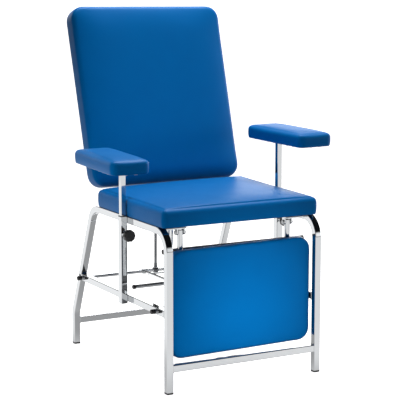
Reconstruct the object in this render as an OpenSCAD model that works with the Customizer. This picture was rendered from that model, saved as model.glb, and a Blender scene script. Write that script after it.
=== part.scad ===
// Blood sampling chair: chromed square-tube frame, reclining backrest linked to the legrest,
// gas spring with a release lever, and two height-adjustable armrests.
// X runs to the right, Y to the back and Z up; lengths are in millimetres.

/* [Frame] */
// Width over the two side frames
frame_w = 548; // [440:1:640]
// Depth from the front legs to the rear legs
base_depth = 712; // [690:1:800]
// Height of the top rails above the floor
rail_top_z = 507; // [480:1:560]
// Side of the square tube
tube_w = 22; // [20:0.5:24]
// Wall of the square tube
tube_wall = 1.5; // [1:0.1:2]
// Centreline radius of the bends
bend_r = 64; // [50:1:70]
// Lean of the rear legs from the vertical
rear_lean = 22.7; // [18:0.1:25]
// Height at which a rear leg starts to lean
rear_bend_z = 97; // [96:1:115]
// Height of the underside of the side rails
side_rail_z = 235; // [215:1:255]
// Height of the underside of the front cross rail
front_rail_z = 68; // [40:1:76]
// Height of the underside of the rear cross rail
rear_rail_z = 72; // [40:1:72]

/* [Feet] */
// Height of a plug foot below the tube
foot_h = 6; // [4:0.5:10]
// Length of a foot's plug inside the tube
foot_plug_h = 22; // [12:1:30]
// Wall of a foot's plug
foot_plug_wall = 2; // [1.5:0.1:3]
// Chamfer round a foot's lower edge
foot_chamfer = 1.5; // [0.5:0.1:2.5]

/* [Tie rods] */
// Diameter of the tie rods
tie_rod_d = 12; // [8:0.5:14]
// Distance of the front tie rod from the front of the legs
front_rod_y = 71; // [70:1:80]
// Distance of the rear tie rod from the rear of the frame
rear_rod_in = 95; // [92:1:112]
// Diameter of a rod's cap
rod_cap_d = 17; // [16:0.5:20]
// Length of a rod's cap
rod_cap_l = 20; // [14:0.5:26]
// Diameter of a rod's washer
rod_washer_d = 20; // [18:0.5:22]
// Thickness of a rod's washer
rod_washer_t = 1.6; // [1:0.1:2.5]

/* [Seat] */
// Distance that the seat pad stands out past each side of the frame
seat_side_out = 1; // [-10:0.5:2]
// Depth of the seat pad
seat_d = 474; // [440:1:476]
// Distance of the seat's front from the front of the legs
seat_front_y = 22; // [10:1:24]
// Thickness of the seat pad at its edge
seat_t = 57; // [45:1:60]
// Rise of the seat pad towards its middle
seat_crown = 9; // [2:0.5:12]
// Corner radius of the seat pad
seat_corner_r = 16; // [12:1:50]

/* [Backrest] */
// Distance of the backrest pad's side from the outside of the frame
back_side_in = 0; // [-5:0.5:30]
// Length of the backrest pad
back_l = 599; // [520:1:680]
// Thickness of the backrest pad at its edge
back_t = 65; // [55:1:70]
// Rise of the backrest pad towards its middle
back_crown = 7; // [2:0.5:9]
// Corner radius of the backrest pad
back_corner_r = 36; // [24:1:60]
// Lean of the upright backrest from the vertical
back_lean = 15.9; // [12:0.1:17]
// Distance from the seat pad back to the backrest's lower front edge
back_behind = 6; // [4:0.5:14]
// Height of the backrest's lower front edge above the seat pad's edge
back_gap = 5; // [4:0.5:12]
// Distance between the two uprights, centre to centre
upright_span = 300; // [220:1:360]
// Side of an upright's square tube
upright_w = 20; // [18:0.5:22]
// Length of an upright above the pad's lower edge
upright_l = 455; // [380:1:480]
// Length of an upright below the pad's lower edge
upright_drop = 28; // [22:1:32]

/* [Recline pivot] */
// Distance from the seat pad back to the recline pivot
pivot_behind = 18; // [17:0.5:22]
// Depth of the recline pivot below the top of the rails
pivot_drop = 17; // [15:0.5:18]
// Diameter of the recline pivot pins
pivot_pin_d = 14; // [12:0.5:15]
// Outside diameter of the recline pivot tube
pivot_tube_d = 22; // [20:0.5:22]
// Length of a pivot pin inside the tube
pivot_pin_l = 34; // [20:1:60]
// Thickness of the hinge plates and crank ears
plate_t = 5; // [4:0.5:6]
// Radius of a hinge plate round the pivot tube
plate_eye_r = 16; // [14:0.5:16]

/* [Legrest] */
// Gap between the legrest pad and a front leg
leg_side_gap = 3; // [2:0.5:30]
// Length of the legrest pad
leg_l = 331; // [260:1:334]
// Thickness of the legrest pad at its edge
leg_t = 40; // [32:1:41]
// Rise of the legrest pad towards its middle
leg_crown = 4; // [1:0.5:6]
// Corner radius of the legrest pad
leg_corner_r = 34; // [24:1:60]
// Distance of the legrest's face from the front of the legs
leg_front_y = 21; // [20:0.5:21]
// Height of the legrest's lower edge
leg_bottom_z = 105; // [103:1:125]
// Distance of the legrest pivot from the front of the legs
hinge_y = 74; // [74:0.5:76]
// Depth of the legrest pivot below the top of the rails
hinge_drop = 25; // [24:0.5:27]
// Distance from a front leg to the centre of a legrest arm
leg_arm_in = 60.5; // [50:0.5:90]
// Diameter of a legrest arm
leg_arm_d = 19; // [16:0.5:20]
// Wall of a legrest arm
leg_arm_wall = 1.5; // [1:0.1:2]
// Length of a legrest arm below its pivot
leg_arm_drop = 208; // [170:1:212]
// Length of a legrest arm above its pivot
leg_arm_rise = 7; // [5:0.5:7]
// Diameter of the legrest cross tube
cross_tube_d = 16; // [14:0.5:16]
// Depth of the cross tube below the legrest pivot
cross_tube_drop = 56; // [46:1:58]
// Length of an end plug of the cross tube
cross_plug_l = 4; // [3:0.5:6]
// Diameter of the pivot bolts
bolt_d = 8; // [6:0.5:8]
// Thickness of a pivot bolt's head
bolt_head_t = 4; // [3:0.5:6]
// Thickness of the hinge brackets
bracket_t = 4; // [3:0.5:5]
// Depth of a hinge bracket from front to back
bracket_d = 40; // [34:1:44]
// Thickness of the rims of the legrest's plugs
plug_rim = 3; // [2:0.5:4]

/* [Link] */
// Length of the cranks at both ends of the link
crank_l = 170; // [150:1:180]
// Thickness of the link
link_t = 8; // [6:0.5:10]
// Height of the link bar
link_h = 14; // [10:0.5:15]
// Wall of the eyes at the link's ends
link_eye_wall = 4; // [3.5:0.5:4.5]

/* [Gas spring] */
// Diameter of the piston rod
strut_rod_d = 10; // [8:0.5:11]
// Diameter of the cylinder
strut_tube_d = 22; // [18:0.5:24]
// Length of the cylinder
strut_tube_l = 190; // [150:1:194]
// Distance of the upper anchor behind the backrest's cross bar
anchor_out = 16; // [15.5:0.5:18]
// Distance of the upper anchor above the pad's lower edge
anchor_up = 51; // [50:0.5:53]
// Outside diameter of the lower eye
foot_eye_d = 22; // [18:0.5:24]
// Width of the strut's eyes
eye_w = 12; // [9:0.5:14]
// Distance from an eye's centre to the rod or the cylinder
eye_neck = 24; // [20:0.5:25]
// Play of the upper eye round its pin, all round
anchor_play = 4; // [4:0.1:4.4]
// Wall of the upper eye
anchor_wall = 3.5; // [3:0.1:3.5]
// Reach of the piston inside the cylinder
piston_in = 32; // [28:1:40]
// Length of the piston
piston_l = 12; // [8:0.5:16]

/* [Release lever] */
// Distance between the two arms of the lever
lever_span = 84; // [60:1:110]
// Diameter of the lever's arms
lever_arm_d = 9; // [7:0.5:11]
// Distance of the lever's bar from the front of the legs
lever_bar_y = 408; // [380:1:440]
// Diameter of the lever's bar
lever_bar_d = 13; // [12:0.5:16]
// Length of the lever's bar without its caps
lever_bar_l = 376; // [300:1:400]
// Diameter of the lever's end caps
lever_cap_d = 17; // [16:0.5:20]
// Length of a lever's end cap
lever_cap_l = 10; // [6:0.5:14]
// Outside diameter of the lever's hubs
hub_d = 20; // [18:0.5:22]
// Length of a lever's hub
hub_l = 18; // [12:0.5:24]
// Diameter of the cross pin that presses the valve
tongue_d = 6; // [4:0.5:7]
// Distance of the cross pin ahead of the rear tie rod
tongue_y = 26; // [24:0.5:30]

/* [Armrests] */
// Distance of a post from the front of the legs to its centre
post_y = 280; // [240:1:320]
// Side of an armrest post
post_w = 17; // [15:0.5:17]
// Wall of an armrest post
post_wall = 1.5; // [1:0.1:2]
// Length of an armrest post
post_l = 342; // [300:1:350]
// Wall of an armrest sleeve
sleeve_wall = 1.2; // [1:0.1:1.4]
// Length of a sleeve below the side rail
sleeve_drop = 5; // [2:1:10]
// Length of the bush in a sleeve's mouth
bush_l = 24; // [16:1:30]
// Thickness of the bush's rim
bush_rim = 2.5; // [1.5:0.5:4]
// Height of the left armrest pad's underside
left_arm_z = 662; // [640:1:720]
// Height of the right armrest pad's underside
right_arm_z = 707; // [660:1:740]
// Width of an armrest pad
arm_pad_w = 127; // [90:1:140]
// Length of an armrest pad
arm_pad_l = 322; // [240:1:360]
// Thickness of an armrest pad at its edge
arm_pad_t = 43; // [30:1:50]
// Rise of an armrest pad towards its middle
arm_pad_crown = 3; // [1:0.5:6]
// Corner radius of an armrest pad
arm_corner_r = 22; // [16:1:40]
// Distance of an armrest pad's inner edge inboard of its post
arm_pad_in = 14.5; // [4:0.5:18]
// Thickness of the plate under an armrest pad
arm_plate_t = 3; // [2:0.5:5]
// Width of the plate under an armrest pad
arm_plate_w = 56; // [40:1:70]
// Length of the plate under an armrest pad
arm_plate_l = 170; // [120:1:220]

/* [Clamp knobs] */
// Diameter over a knob's lobes
knob_d = 38; // [30:1:44]
// Number of lobes on a knob
knob_lobes = 6; // [5:1:8]
// Thickness of a knob's lobed head
knob_t = 18; // [12:1:22]
// Diameter of a knob's hub
knob_hub_d = 20; // [16:0.5:22]
// Length of a knob's hub
knob_hub_l = 9; // [5:0.5:12]
// Diameter of a knob's stud
stud_d = 8; // [6:0.5:8]
// Bare length of a knob's stud
stud_gap = 6; // [4:0.5:10]
// Diameter of the threaded boss on a sleeve
boss_d = 16; // [12:0.5:18]
// Length of the threaded boss on a sleeve
boss_l = 12; // [8:0.5:16]
// Depth of a knob's axis below the top of the rails
knob_drop = 54; // [45:1:70]

/* [Upholstery] */
// Thickness of the plywood boards
board_t = 12; // [9:0.5:14]
// Thickness of the boards in the armrests
arm_board_t = 9; // [6:0.5:12]
// Distance of a board's edge inside its pad
board_inset = 9; // [8:0.5:12]
// Amount by which a pad's sides draw in at its back
pad_draw = 4; // [3:0.5:7]
// Radius of the backrest pad's rounded edge
back_edge_r = 16; // [10:0.5:18]
// Radius of the seat pad's rounded edge
seat_edge_r = 10; // [6:0.5:18]
// Radius of the legrest pad's rounded edge
leg_edge_r = 9; // [6:0.5:14]
// Radius of an armrest pad's upper edge
arm_edge_r = 10; // [6:0.5:14]

/* [Hidden] */

// Smoothness of round pieces
$fn = 48;

// Overrun of every cut
cut = 1;
// Radial play of a running fit
play = 0.05;
// Gap between pieces that slide or pass each other
gap = 0.3;

// Places of the frame
inner_x = frame_w / 2 - tube_w;
tube_axis_x = frame_w / 2 - tube_w / 2;
rail_axis_z = rail_top_z - tube_w / 2;
rear_axis_y = base_depth - tube_w / 2;
rear_rod_y = base_depth - rear_rod_in;
side_rail_top_z = side_rail_z + tube_w;
rod_z = side_rail_z + tube_w / 2;
knee_tangent = bend_r * tan(rear_lean / 2);
rear_knee_z = rear_bend_z + knee_tangent;
knee_rise = rail_axis_z - rear_knee_z;
top_corner_y = rear_axis_y - knee_rise * tan(rear_lean);
top_tangent = bend_r * tan((90 - rear_lean) / 2);
rail_run = top_corner_y - top_tangent - tube_w / 2 - bend_r;

// Widths of the pads
seat_w = frame_w + 2 * seat_side_out;
back_w = frame_w - 2 * back_side_in;
leg_w = 2 * inner_x - 2 * leg_side_gap;

// Places of the backrest
seat_rear_y = seat_front_y + seat_d;
back_front_y = seat_rear_y + back_behind;
pivot_y = seat_rear_y + pivot_behind;
seat_top_z = rail_top_z + seat_t;
back_bottom_z = seat_top_z + back_gap;
pivot_z = rail_top_z - pivot_drop;
upright_t = back_t + upright_w / 2;
cross_bar_t = upright_t + upright_w / 2;

// Place of the lower front edge seen from the leaning backrest
function lean_y(s, t) = back_front_y + s * sin(back_lean) + t * cos(back_lean);
function lean_z(s, t) = back_bottom_z + s * cos(back_lean) - t * sin(back_lean);
pivot_s = (pivot_y - back_front_y) * sin(back_lean) + (pivot_z - back_bottom_z) * cos(back_lean);
pivot_t = (pivot_y - back_front_y) * cos(back_lean) - (pivot_z - back_bottom_z) * sin(back_lean);

// Places of the gas spring
anchor_y = lean_y(anchor_up, cross_bar_t + anchor_out);
anchor_z = lean_z(anchor_up, cross_bar_t + anchor_out);
strut_l = norm([anchor_y - rear_rod_y, anchor_z - rod_z]);
strut_angle = atan2(rear_rod_y - anchor_y, anchor_z - rod_z);
strut_tube_z = strut_l - eye_neck - strut_tube_l;
strut_bore = strut_tube_d - 2 * tube_wall;
anchor_eye_d = bolt_d + 2 * anchor_play + 2 * anchor_wall;
anchor_ear_r = bolt_d / 2 + bracket_t;

// Places of the legrest
hinge_z = rail_top_z - hinge_drop;
cross_tube_z = hinge_z - cross_tube_drop;
link_front_z = hinge_z - crank_l;
link_eye_r = bolt_d / 2 + link_eye_wall;
leg_back_y = leg_front_y + leg_t;
arm_front_y = hinge_y - leg_arm_d / 2;
bracket_top_z = rail_top_z - tube_w / 3;
arm_x = inner_x - leg_arm_in;
cheek_in = leg_arm_d / 2 + gap;

// Places of the armrests
sleeve_x = frame_w / 2 + tube_w / 2;
sleeve_z = side_rail_z - sleeve_drop;
sleeve_front_y = post_y - tube_w / 2;
sleeve_bore = tube_w - 2 * sleeve_wall;
knob_z = rail_top_z - knob_drop;
knob_back_y = sleeve_front_y - boss_l - stud_gap;
arm_pad_x = sleeve_x - tube_w / 2 - arm_pad_in + arm_pad_w / 2;

// The whole depth, which sets the origin at the middle of the outline
depth_all = max(base_depth, lean_y(back_l - pad_draw, back_t));
origin_y = depth_all / 2;

// Colours
chrome = "gainsboro";
vinyl = "#1a68ac";
plastic = "#1c1c1e";
plywood = "burlywood";
steel = "silver";

// Shared building blocks

// Moves a child from the front legs' face to the origin
module place() {
    translate([0, -origin_y, 0]) children();
}

// Turns a child made in the backrest's own directions to the leaning place
module on_back() {
    translate([0, back_front_y, back_bottom_z]) rotate([-back_lean, 0, 0]) children();
}

// Two mirrored copies
module both_sides() {
    children();
    mirror([1, 0, 0]) children();
}

// A block centred in X and Y that stands on Z zero
module block(x, y, z) {
    translate([-x / 2, -y / 2, 0]) cube([x, y, z]);
}

// A hollow square section
module tube_section(w, wall) {
    difference() {
        square(w, center = true);
        square(w - 2 * wall, center = true);
    }
}

// A straight square tube along Z
module tube_straight(l, w, wall) {
    linear_extrude(l) tube_section(w, wall);
}

// A round rod along X, centred
module rod_x(d, l) {
    rotate([0, 90, 0]) cylinder(d = d, h = l, center = true);
}

// A round rod along Y from the origin
module rod_y(d, l) {
    rotate([-90, 0, 0]) cylinder(d = d, h = l);
}

// A round tube along X, centred
module pipe_x(d, bore, l) {
    difference() {
        rod_x(d, l);
        rod_x(bore, l + 2 * cut);
    }
}

// A flat plate in the Y-Z plane, centred in X, from an outline given as Y and Z
module plate_x(t) {
    rotate([90, 0, 90]) translate([0, 0, -t / 2]) linear_extrude(t) children();
}

// A rounded rectangle, centred
module rounded_rect(w, l, r) {
    square([w - 2 * r, l], center = true);
    square([w, l - 2 * r], center = true);
    for (x = [-1, 1], y = [-1, 1]) {
        translate([x * (w / 2 - r), y * (l / 2 - r)]) circle(r);
    }
}

// Points of a rounded rectangle pulled in by d, with the sides divided as well
corner_steps = 6;
side_steps = 4;
function ring_corner(w, l, r, q) =
    let (sx = (q == 0 || q == 3) ? 1 : -1, sy = (q < 2) ? 1 : -1)
    [for (k = [0:corner_steps]) let (a = 90 * q + 90 * k / corner_steps)
        [sx * (w / 2 - r) + r * cos(a), sy * (l / 2 - r) + r * sin(a)]];
function ring_side(a, b) = [for (k = [1:side_steps - 1]) a + (b - a) * k / side_steps];
function ring_points(w, l, r) =
    let (c = [for (q = [0:3]) ring_corner(w, l, r, q)])
    [for (q = [0:3]) each concat(c[q], ring_side(c[q][corner_steps], c[(q + 1) % 4][0]))];
function pad_ring(w, l, r, d, z) =
    [for (p = ring_points(w - 2 * d, l - 2 * d, max(r - d, r / 3))) [p[0], p[1], z]];

// Shares of the thickness and of the draw-in at the rings of a pad's side
side_height_shares = [0, 0.14, 0.32, 0.52];
side_draw_shares = [1, 0.62, 0.2, 0];
// Steps of a pad's rounded upper edge, in degrees
edge_angles = [0, 30, 60, 90];
// Shares of the face at the rings of its crown
crown_shares = [0.86, 0.66, 0.44, 0.22];

// A stuffed pad, back face down: drawn-in sides, rounded upper edge and a crowned face
module pad_form(w, l, t, r, edge, crown) {
    sides = [for (i = [0:len(side_height_shares) - 1])
        pad_ring(w, l, r, pad_draw * side_draw_shares[i], t * side_height_shares[i])];
    edges = [for (a = edge_angles)
        pad_ring(w, l, r, edge * (1 - cos(a)), t - edge * (1 - sin(a)))];
    face = edges[len(edges) - 1];
    crowns = [for (q = crown_shares)
        [for (p = face) [p[0] * q, p[1] * q, t + crown * (1 - q * q)]]];
    rings = concat(sides, edges, crowns);
    n = len(face);
    m = len(rings);
    points = concat([for (g = rings) each g], [[0, 0, 0], [0, 0, t + crown]]);
    skin = [for (g = [0:m - 2], k = [0:n - 1]) each [
        [g * n + k, (g + 1) * n + k, g * n + (k + 1) % n],
        [g * n + (k + 1) % n, (g + 1) * n + k, (g + 1) * n + (k + 1) % n]]];
    floor_fan = [for (k = [0:n - 1]) [m * n, k, (k + 1) % n]];
    top_fan = [for (k = [0:n - 1]) [m * n + 1, (m - 1) * n + (k + 1) % n, (m - 1) * n + k]];
    polyhedron(points, concat(skin, floor_fan, top_fan));
}

// The board inside a pad, back face down
module pad_board(w, l, t, r) {
    linear_extrude(t) rounded_rect(w - 2 * board_inset, l - 2 * board_inset, r - board_inset / 2);
}

// A pad with the pocket that its board fits
module pad_cushion(w, l, t, r, edge, crown, board) {
    difference() {
        pad_form(w, l, t, r, edge, crown);
        translate([0, 0, -cut]) linear_extrude(board + cut)
            rounded_rect(w - 2 * board_inset, l - 2 * board_inset, r - board_inset / 2);
    }
}

// Frame

// Points of a bend round c from one angle to another, clockwise
bend_steps = 16;
function bend_points(c, r, a, b) =
    [for (k = [0:bend_steps]) let (t = a + (b - a) * k / bend_steps) c + r * [cos(t), sin(t)]];

// The area under the bent tube's outer line, pulled in by d, down to the height low
module under_line(d, low) {
    r = bend_r + tube_w / 2 - d;
    bend_z = rail_axis_z - bend_r;
    front_c = [tube_w / 2 + bend_r, bend_z];
    top_c = [tube_w / 2 + bend_r + rail_run, bend_z];
    knee_c = [rear_axis_y - bend_r, rear_bend_z];
    polygon(concat(
        [[front_c[0] - r, low]],
        bend_points(front_c, r, 180, 90),
        bend_points(top_c, r, 90, rear_lean),
        bend_points(knee_c, r, rear_lean, 0),
        [[knee_c[0] + r, low]]
    ));
}

// One bent tube: front leg, top rail, leaning rear leg and its upright foot
module side_frame() {
    translate([tube_axis_x, 0, 0]) difference() {
        plate_x(tube_w) difference() {
            under_line(0, foot_h);
            under_line(tube_w, 0);
        }
        plate_x(tube_w - 2 * tube_wall) difference() {
            under_line(tube_wall, 0);
            under_line(tube_w - tube_wall, -cut);
        }
    }
}

module side_frame_left() {
    color(chrome) place() mirror([1, 0, 0]) side_frame();
}

module side_frame_right() {
    color(chrome) place() side_frame();
}

// The side rail runs from the front leg to the leaning rear leg, with a hole for each tie rod
module side_rail() {
    difference() {
        translate([tube_axis_x, tube_w, rod_z]) rotate([-90, 0, 0])
            tube_straight(base_depth - tube_w, tube_w, tube_wall);
        translate([tube_axis_x, rear_axis_y, rear_knee_z]) rotate([rear_lean, 0, 0])
            translate([0, base_depth / 2 - tube_w / 2, 0])
                block(tube_w + 2 * cut, base_depth, rail_top_z);
        for (y = [front_rod_y, rear_rod_y]) {
            translate([tube_axis_x, y, rod_z]) rod_x(tie_rod_d, tube_w + 2 * cut);
        }
    }
}

module side_rail_left() {
    color(chrome) place() mirror([1, 0, 0]) side_rail();
}

module side_rail_right() {
    color(chrome) place() side_rail();
}

module cross_rail(y, z) {
    translate([-inner_x, y, z]) rotate([0, 90, 0]) tube_straight(2 * inner_x, tube_w, tube_wall);
}

module front_cross_rail() {
    color(chrome) place() cross_rail(tube_w / 2, front_rail_z + tube_w / 2);
}

module rear_cross_rail() {
    color(chrome) place() cross_rail(rear_axis_y, rear_rail_z + tube_w / 2);
}

// A plug foot: a chamfered head as wide as the tube and a hollow plug inside it
module plug_foot() {
    plug_w = tube_w - 2 * tube_wall;
    difference() {
        union() {
            translate([0, 0, foot_chamfer]) block(tube_w, tube_w, foot_h - foot_chamfer);
            translate([0, 0, foot_h]) block(plug_w, plug_w, foot_plug_h);
            block(tube_w - 2 * foot_chamfer, tube_w - 2 * foot_chamfer, foot_chamfer);
        }
        translate([0, 0, foot_h])
            block(plug_w - 2 * foot_plug_wall, plug_w - 2 * foot_plug_wall, foot_plug_h + cut);
    }
}

module plug_feet() {
    color(plastic) place() both_sides() {
        for (y = [tube_w / 2, rear_axis_y]) {
            translate([tube_axis_x, y, 0]) plug_foot();
        }
    }
}

// Armrest sleeves with their bush and threaded boss

module post_sleeve() {
    translate([sleeve_x, post_y, 0]) difference() {
        translate([0, 0, sleeve_z]) tube_straight(rail_top_z - sleeve_z, tube_w, sleeve_wall);
        translate([0, -tube_w, knob_z]) rod_y(stud_d + 2 * play, tube_w);
    }
}

module post_sleeve_left() {
    color(chrome) place() mirror([1, 0, 0]) post_sleeve();
}

module post_sleeve_right() {
    color(chrome) place() post_sleeve();
}

module sleeve_bush() {
    translate([sleeve_x, post_y, rail_top_z]) difference() {
        union() {
            block(tube_w, tube_w, bush_rim);
            translate([0, 0, -bush_l]) block(sleeve_bore, sleeve_bore, bush_l);
        }
        translate([0, 0, -bush_l - cut])
            block(post_w + 2 * gap, post_w + 2 * gap, bush_l + bush_rim + 2 * cut);
    }
}

module sleeve_bushes() {
    color(plastic) place() both_sides() sleeve_bush();
}

module clamp_bosses() {
    color(chrome) place() both_sides() translate([sleeve_x, sleeve_front_y, knob_z])
        rotate([90, 0, 0]) difference() {
            cylinder(d = boss_d, h = boss_l);
            translate([0, 0, -cut]) cylinder(r = stud_d / 2 + play, h = boss_l + 2 * cut);
        }
}

// Tie rods through the side rails, with washers and caps outside

module tie_rod(y) {
    translate([0, y, rod_z]) rod_x(tie_rod_d, frame_w + 2 * rod_washer_t + rod_cap_l);
}

module front_tie_rod() {
    color(chrome) place() tie_rod(front_rod_y);
}

module rear_tie_rod() {
    color(chrome) place() tie_rod(rear_rod_y);
}

module at_rod_ends() {
    both_sides() for (y = [front_rod_y, rear_rod_y]) {
        translate([frame_w / 2, y, rod_z]) rotate([0, 90, 0]) children();
    }
}

module tie_rod_washers() {
    color(steel) place() at_rod_ends() difference() {
        cylinder(d = rod_washer_d, h = rod_washer_t);
        translate([0, 0, -cut]) cylinder(d = tie_rod_d, h = rod_washer_t + 2 * cut);
    }
}

// A cap has a rounded end and a blind bore that the rod fills
module tie_rod_cap() {
    round_r = rod_cap_d / 4;
    difference() {
        rotate_extrude() {
            square([rod_cap_d / 2, rod_cap_l - round_r]);
            square([rod_cap_d / 2 - round_r, rod_cap_l]);
            translate([rod_cap_d / 2 - round_r, rod_cap_l - round_r]) intersection() {
                circle(round_r);
                square(round_r);
            }
        }
        translate([0, 0, -cut]) cylinder(d = tie_rod_d, h = rod_cap_l / 2 + cut);
    }
}

module tie_rod_caps() {
    color(plastic) place() at_rod_ends() translate([0, 0, rod_washer_t]) tie_rod_cap();
}

// Legrest hinge brackets: a shelf welded to the top rail and two rounded cheeks below it

module legrest_bracket() {
    cheek_r = bolt_d;
    shelf_in = arm_x - cheek_in - bracket_t;
    difference() {
        union() {
            translate([shelf_in, hinge_y - bracket_d / 2, bracket_top_z - bracket_t])
                cube([inner_x - shelf_in, bracket_d, bracket_t]);
            for (x = [-1, 1]) {
                translate([arm_x + x * (cheek_in + bracket_t / 2), hinge_y, hinge_z]) plate_x(bracket_t) {
                    circle(cheek_r);
                    translate([-cheek_r, 0]) square([2 * cheek_r, bracket_top_z - bracket_t / 2 - hinge_z]);
                }
            }
        }
        translate([arm_x, hinge_y, hinge_z]) rod_x(bolt_d, 2 * (cheek_in + bracket_t + cut));
    }
}

module legrest_bracket_left() {
    color(chrome) place() mirror([1, 0, 0]) legrest_bracket();
}

module legrest_bracket_right() {
    color(chrome) place() legrest_bracket();
}

module legrest_pivot_bolts() {
    cheek_out = cheek_in + bracket_t;
    color(steel) place() both_sides() translate([arm_x, hinge_y, hinge_z]) {
        rod_x(bolt_d, 2 * cheek_out);
        for (x = [-1, 1]) {
            translate([x * (cheek_out + bolt_head_t / 2), 0, 0]) rotate([0, 90, 0])
                cylinder(d = 2 * bolt_d - bolt_d / 8, h = bolt_head_t, center = true, $fn = 6);
        }
    }
}

// Seat

module seat_place() {
    translate([0, seat_front_y + seat_d / 2, rail_top_z]) children();
}

module seat_board() {
    color(plywood) place() seat_place() pad_board(seat_w, seat_d, board_t, seat_corner_r);
}

module seat_cushion() {
    color(vinyl) place() seat_place()
        pad_cushion(seat_w, seat_d, seat_t, seat_corner_r, seat_edge_r, seat_crown, board_t);
}

// Backrest

// Stub pins welded inside the top rails carry the recline tube
module recline_pins() {
    color(steel) place() both_sides()
        translate([inner_x - pivot_pin_l / 2, pivot_y, pivot_z]) rod_x(pivot_pin_d, pivot_pin_l);
}

// Two ears beside the link, from a tube down to a link pin; ears narrower than an eye hang under the tube
module crank_ears(drop, top_r, tube_d) {
    top_z = top_r > tube_d / 2 ? 0 : -tube_d / 4;
    for (x = [-1, 1]) {
        translate([x * (link_t / 2 + gap + plate_t / 2), 0, 0]) difference() {
            plate_x(plate_t) {
                if (top_r > tube_d / 2) circle(top_r);
                translate([0, -drop]) circle(link_eye_r);
                polygon([[-top_r, top_z], [top_r, top_z], [link_eye_r, -drop], [-link_eye_r, -drop]]);
            }
            rod_x(tube_d, plate_t + 2 * cut);
            translate([0, 0, -drop]) rod_x(bolt_d, plate_t + 2 * cut);
        }
    }
}

// A headed pin through a pair of ears
module ear_pin() {
    ear_out = link_t / 2 + gap + plate_t;
    head_t = plate_t / 2;
    rod_x(bolt_d, 2 * ear_out);
    for (x = [-1, 1]) {
        translate([x * (ear_out + head_t / 2), 0, 0]) rod_x(bolt_d + link_eye_wall, head_t);
    }
}

// A hinge plate from the recline tube to the lower end of an upright, in the backrest's directions
module hinge_plate() {
    top_s = upright_w;
    difference() {
        plate_x(plate_t) {
            translate([pivot_t, pivot_s]) circle(plate_eye_r);
            polygon([
                [pivot_t - plate_eye_r, pivot_s],
                [pivot_t, pivot_s - plate_eye_r],
                [upright_t + upright_w / 2, -upright_drop],
                [upright_t + upright_w / 2, top_s],
                [upright_t - upright_w / 2, top_s],
                [upright_t - upright_w / 2, -upright_drop / 2]
            ]);
        }
        translate([0, pivot_t, pivot_s]) rod_x(pivot_tube_d, plate_t + 2 * cut);
    }
}

// The recline tube with its two crank ears and the plates that carry the uprights
module recline_tube() {
    tube_l = 2 * (inner_x - gap - plate_t / 2);
    plate_at = upright_span / 2 - upright_w / 2 - plate_t / 2;
    color(chrome) place() {
        translate([0, pivot_y, pivot_z]) {
            pipe_x(pivot_tube_d, pivot_pin_d + 2 * play, tube_l);
            crank_ears(crank_l, plate_eye_r, pivot_tube_d);
        }
        both_sides() translate([plate_at, 0, 0]) on_back() hinge_plate();
    }
}

module back_upright() {
    on_back() translate([upright_span / 2, upright_t, -upright_drop])
        tube_straight(upright_drop + upright_l, upright_w, tube_wall);
}

module back_upright_left() {
    color(chrome) place() mirror([1, 0, 0]) back_upright();
}

module back_upright_right() {
    color(chrome) place() back_upright();
}

// Square plugs close both ends of the uprights
module upright_plug() {
    plug_w = upright_w - 2 * tube_wall;
    block(upright_w, upright_w, plate_t / 2);
    translate([0, 0, -foot_plug_h / 2]) block(plug_w, plug_w, foot_plug_h / 2);
}

module upright_plugs() {
    color(plastic) place() on_back() both_sides() translate([upright_span / 2, upright_t, 0]) {
        translate([0, 0, upright_l]) upright_plug();
        translate([0, 0, -upright_drop]) mirror([0, 0, 1]) upright_plug();
    }
}

// The cross bar between the uprights, with two ears for the gas spring's upper pin
module back_cross_bar() {
    bar_l = upright_span - upright_w;
    ear_in = eye_w / 2 + gap;
    color(chrome) place() on_back() translate([0, 0, anchor_up]) difference() {
        union() {
            translate([-bar_l / 2, upright_t, 0]) rotate([0, 90, 0])
                tube_straight(bar_l, upright_w, tube_wall);
            for (x = [-1, 1]) {
                translate([x * (ear_in + bracket_t / 2), cross_bar_t, 0]) plate_x(bracket_t) {
                    translate([anchor_out, 0]) circle(anchor_ear_r);
                    translate([0, -anchor_ear_r]) square([anchor_out, 2 * anchor_ear_r]);
                }
            }
        }
        translate([0, cross_bar_t + anchor_out, 0]) rod_x(bolt_d, 2 * (ear_in + bracket_t + cut));
    }
}

module strut_anchor_pin() {
    ear_out = eye_w / 2 + gap + bracket_t;
    color(steel) place() translate([0, anchor_y, anchor_z]) {
        rod_x(bolt_d, 2 * ear_out);
        for (x = [-1, 1]) {
            translate([x * (ear_out + bracket_t / 4), 0, 0])
                rod_x(2 * anchor_ear_r - bracket_t, bracket_t / 2);
        }
    }
}

// Back face down is turned so that the face looks forward
module back_place() {
    on_back() translate([0, back_t, back_l / 2]) rotate([90, 0, 0]) children();
}

module back_board() {
    color(plywood) place() back_place() pad_board(back_w, back_l, board_t, back_corner_r);
}

module back_cushion() {
    color(vinyl) place() back_place()
        pad_cushion(back_w, back_l, back_t, back_corner_r, back_edge_r, back_crown, board_t);
}

// Legrest

// A round arm with a pivot bore, the cross tube's hole and two lugs for the board
module legrest_arm() {
    lug_l = 2 * leg_arm_d;
    lug_out = hinge_y - leg_back_y;
    translate([arm_x, hinge_y, hinge_z]) difference() {
        union() {
            translate([0, 0, -leg_arm_drop]) cylinder(d = leg_arm_d, h = leg_arm_drop + leg_arm_rise);
            for (z = [-cross_tube_drop - leg_arm_d - lug_l, -leg_arm_drop + leg_arm_d / 2]) {
                translate([-leg_arm_d / 2, -lug_out, z]) cube([leg_arm_d, lug_out, lug_l]);
            }
        }
        translate([0, 0, -leg_arm_drop - cut])
            cylinder(d = leg_arm_d - 2 * leg_arm_wall, h = leg_arm_drop - cross_tube_drop - leg_arm_d / 2);
        rod_x(bolt_d + 2 * play, leg_arm_d + 2 * cut);
        translate([0, 0, -cross_tube_drop]) rod_x(cross_tube_d, leg_arm_d + 2 * cut);
    }
}

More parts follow.
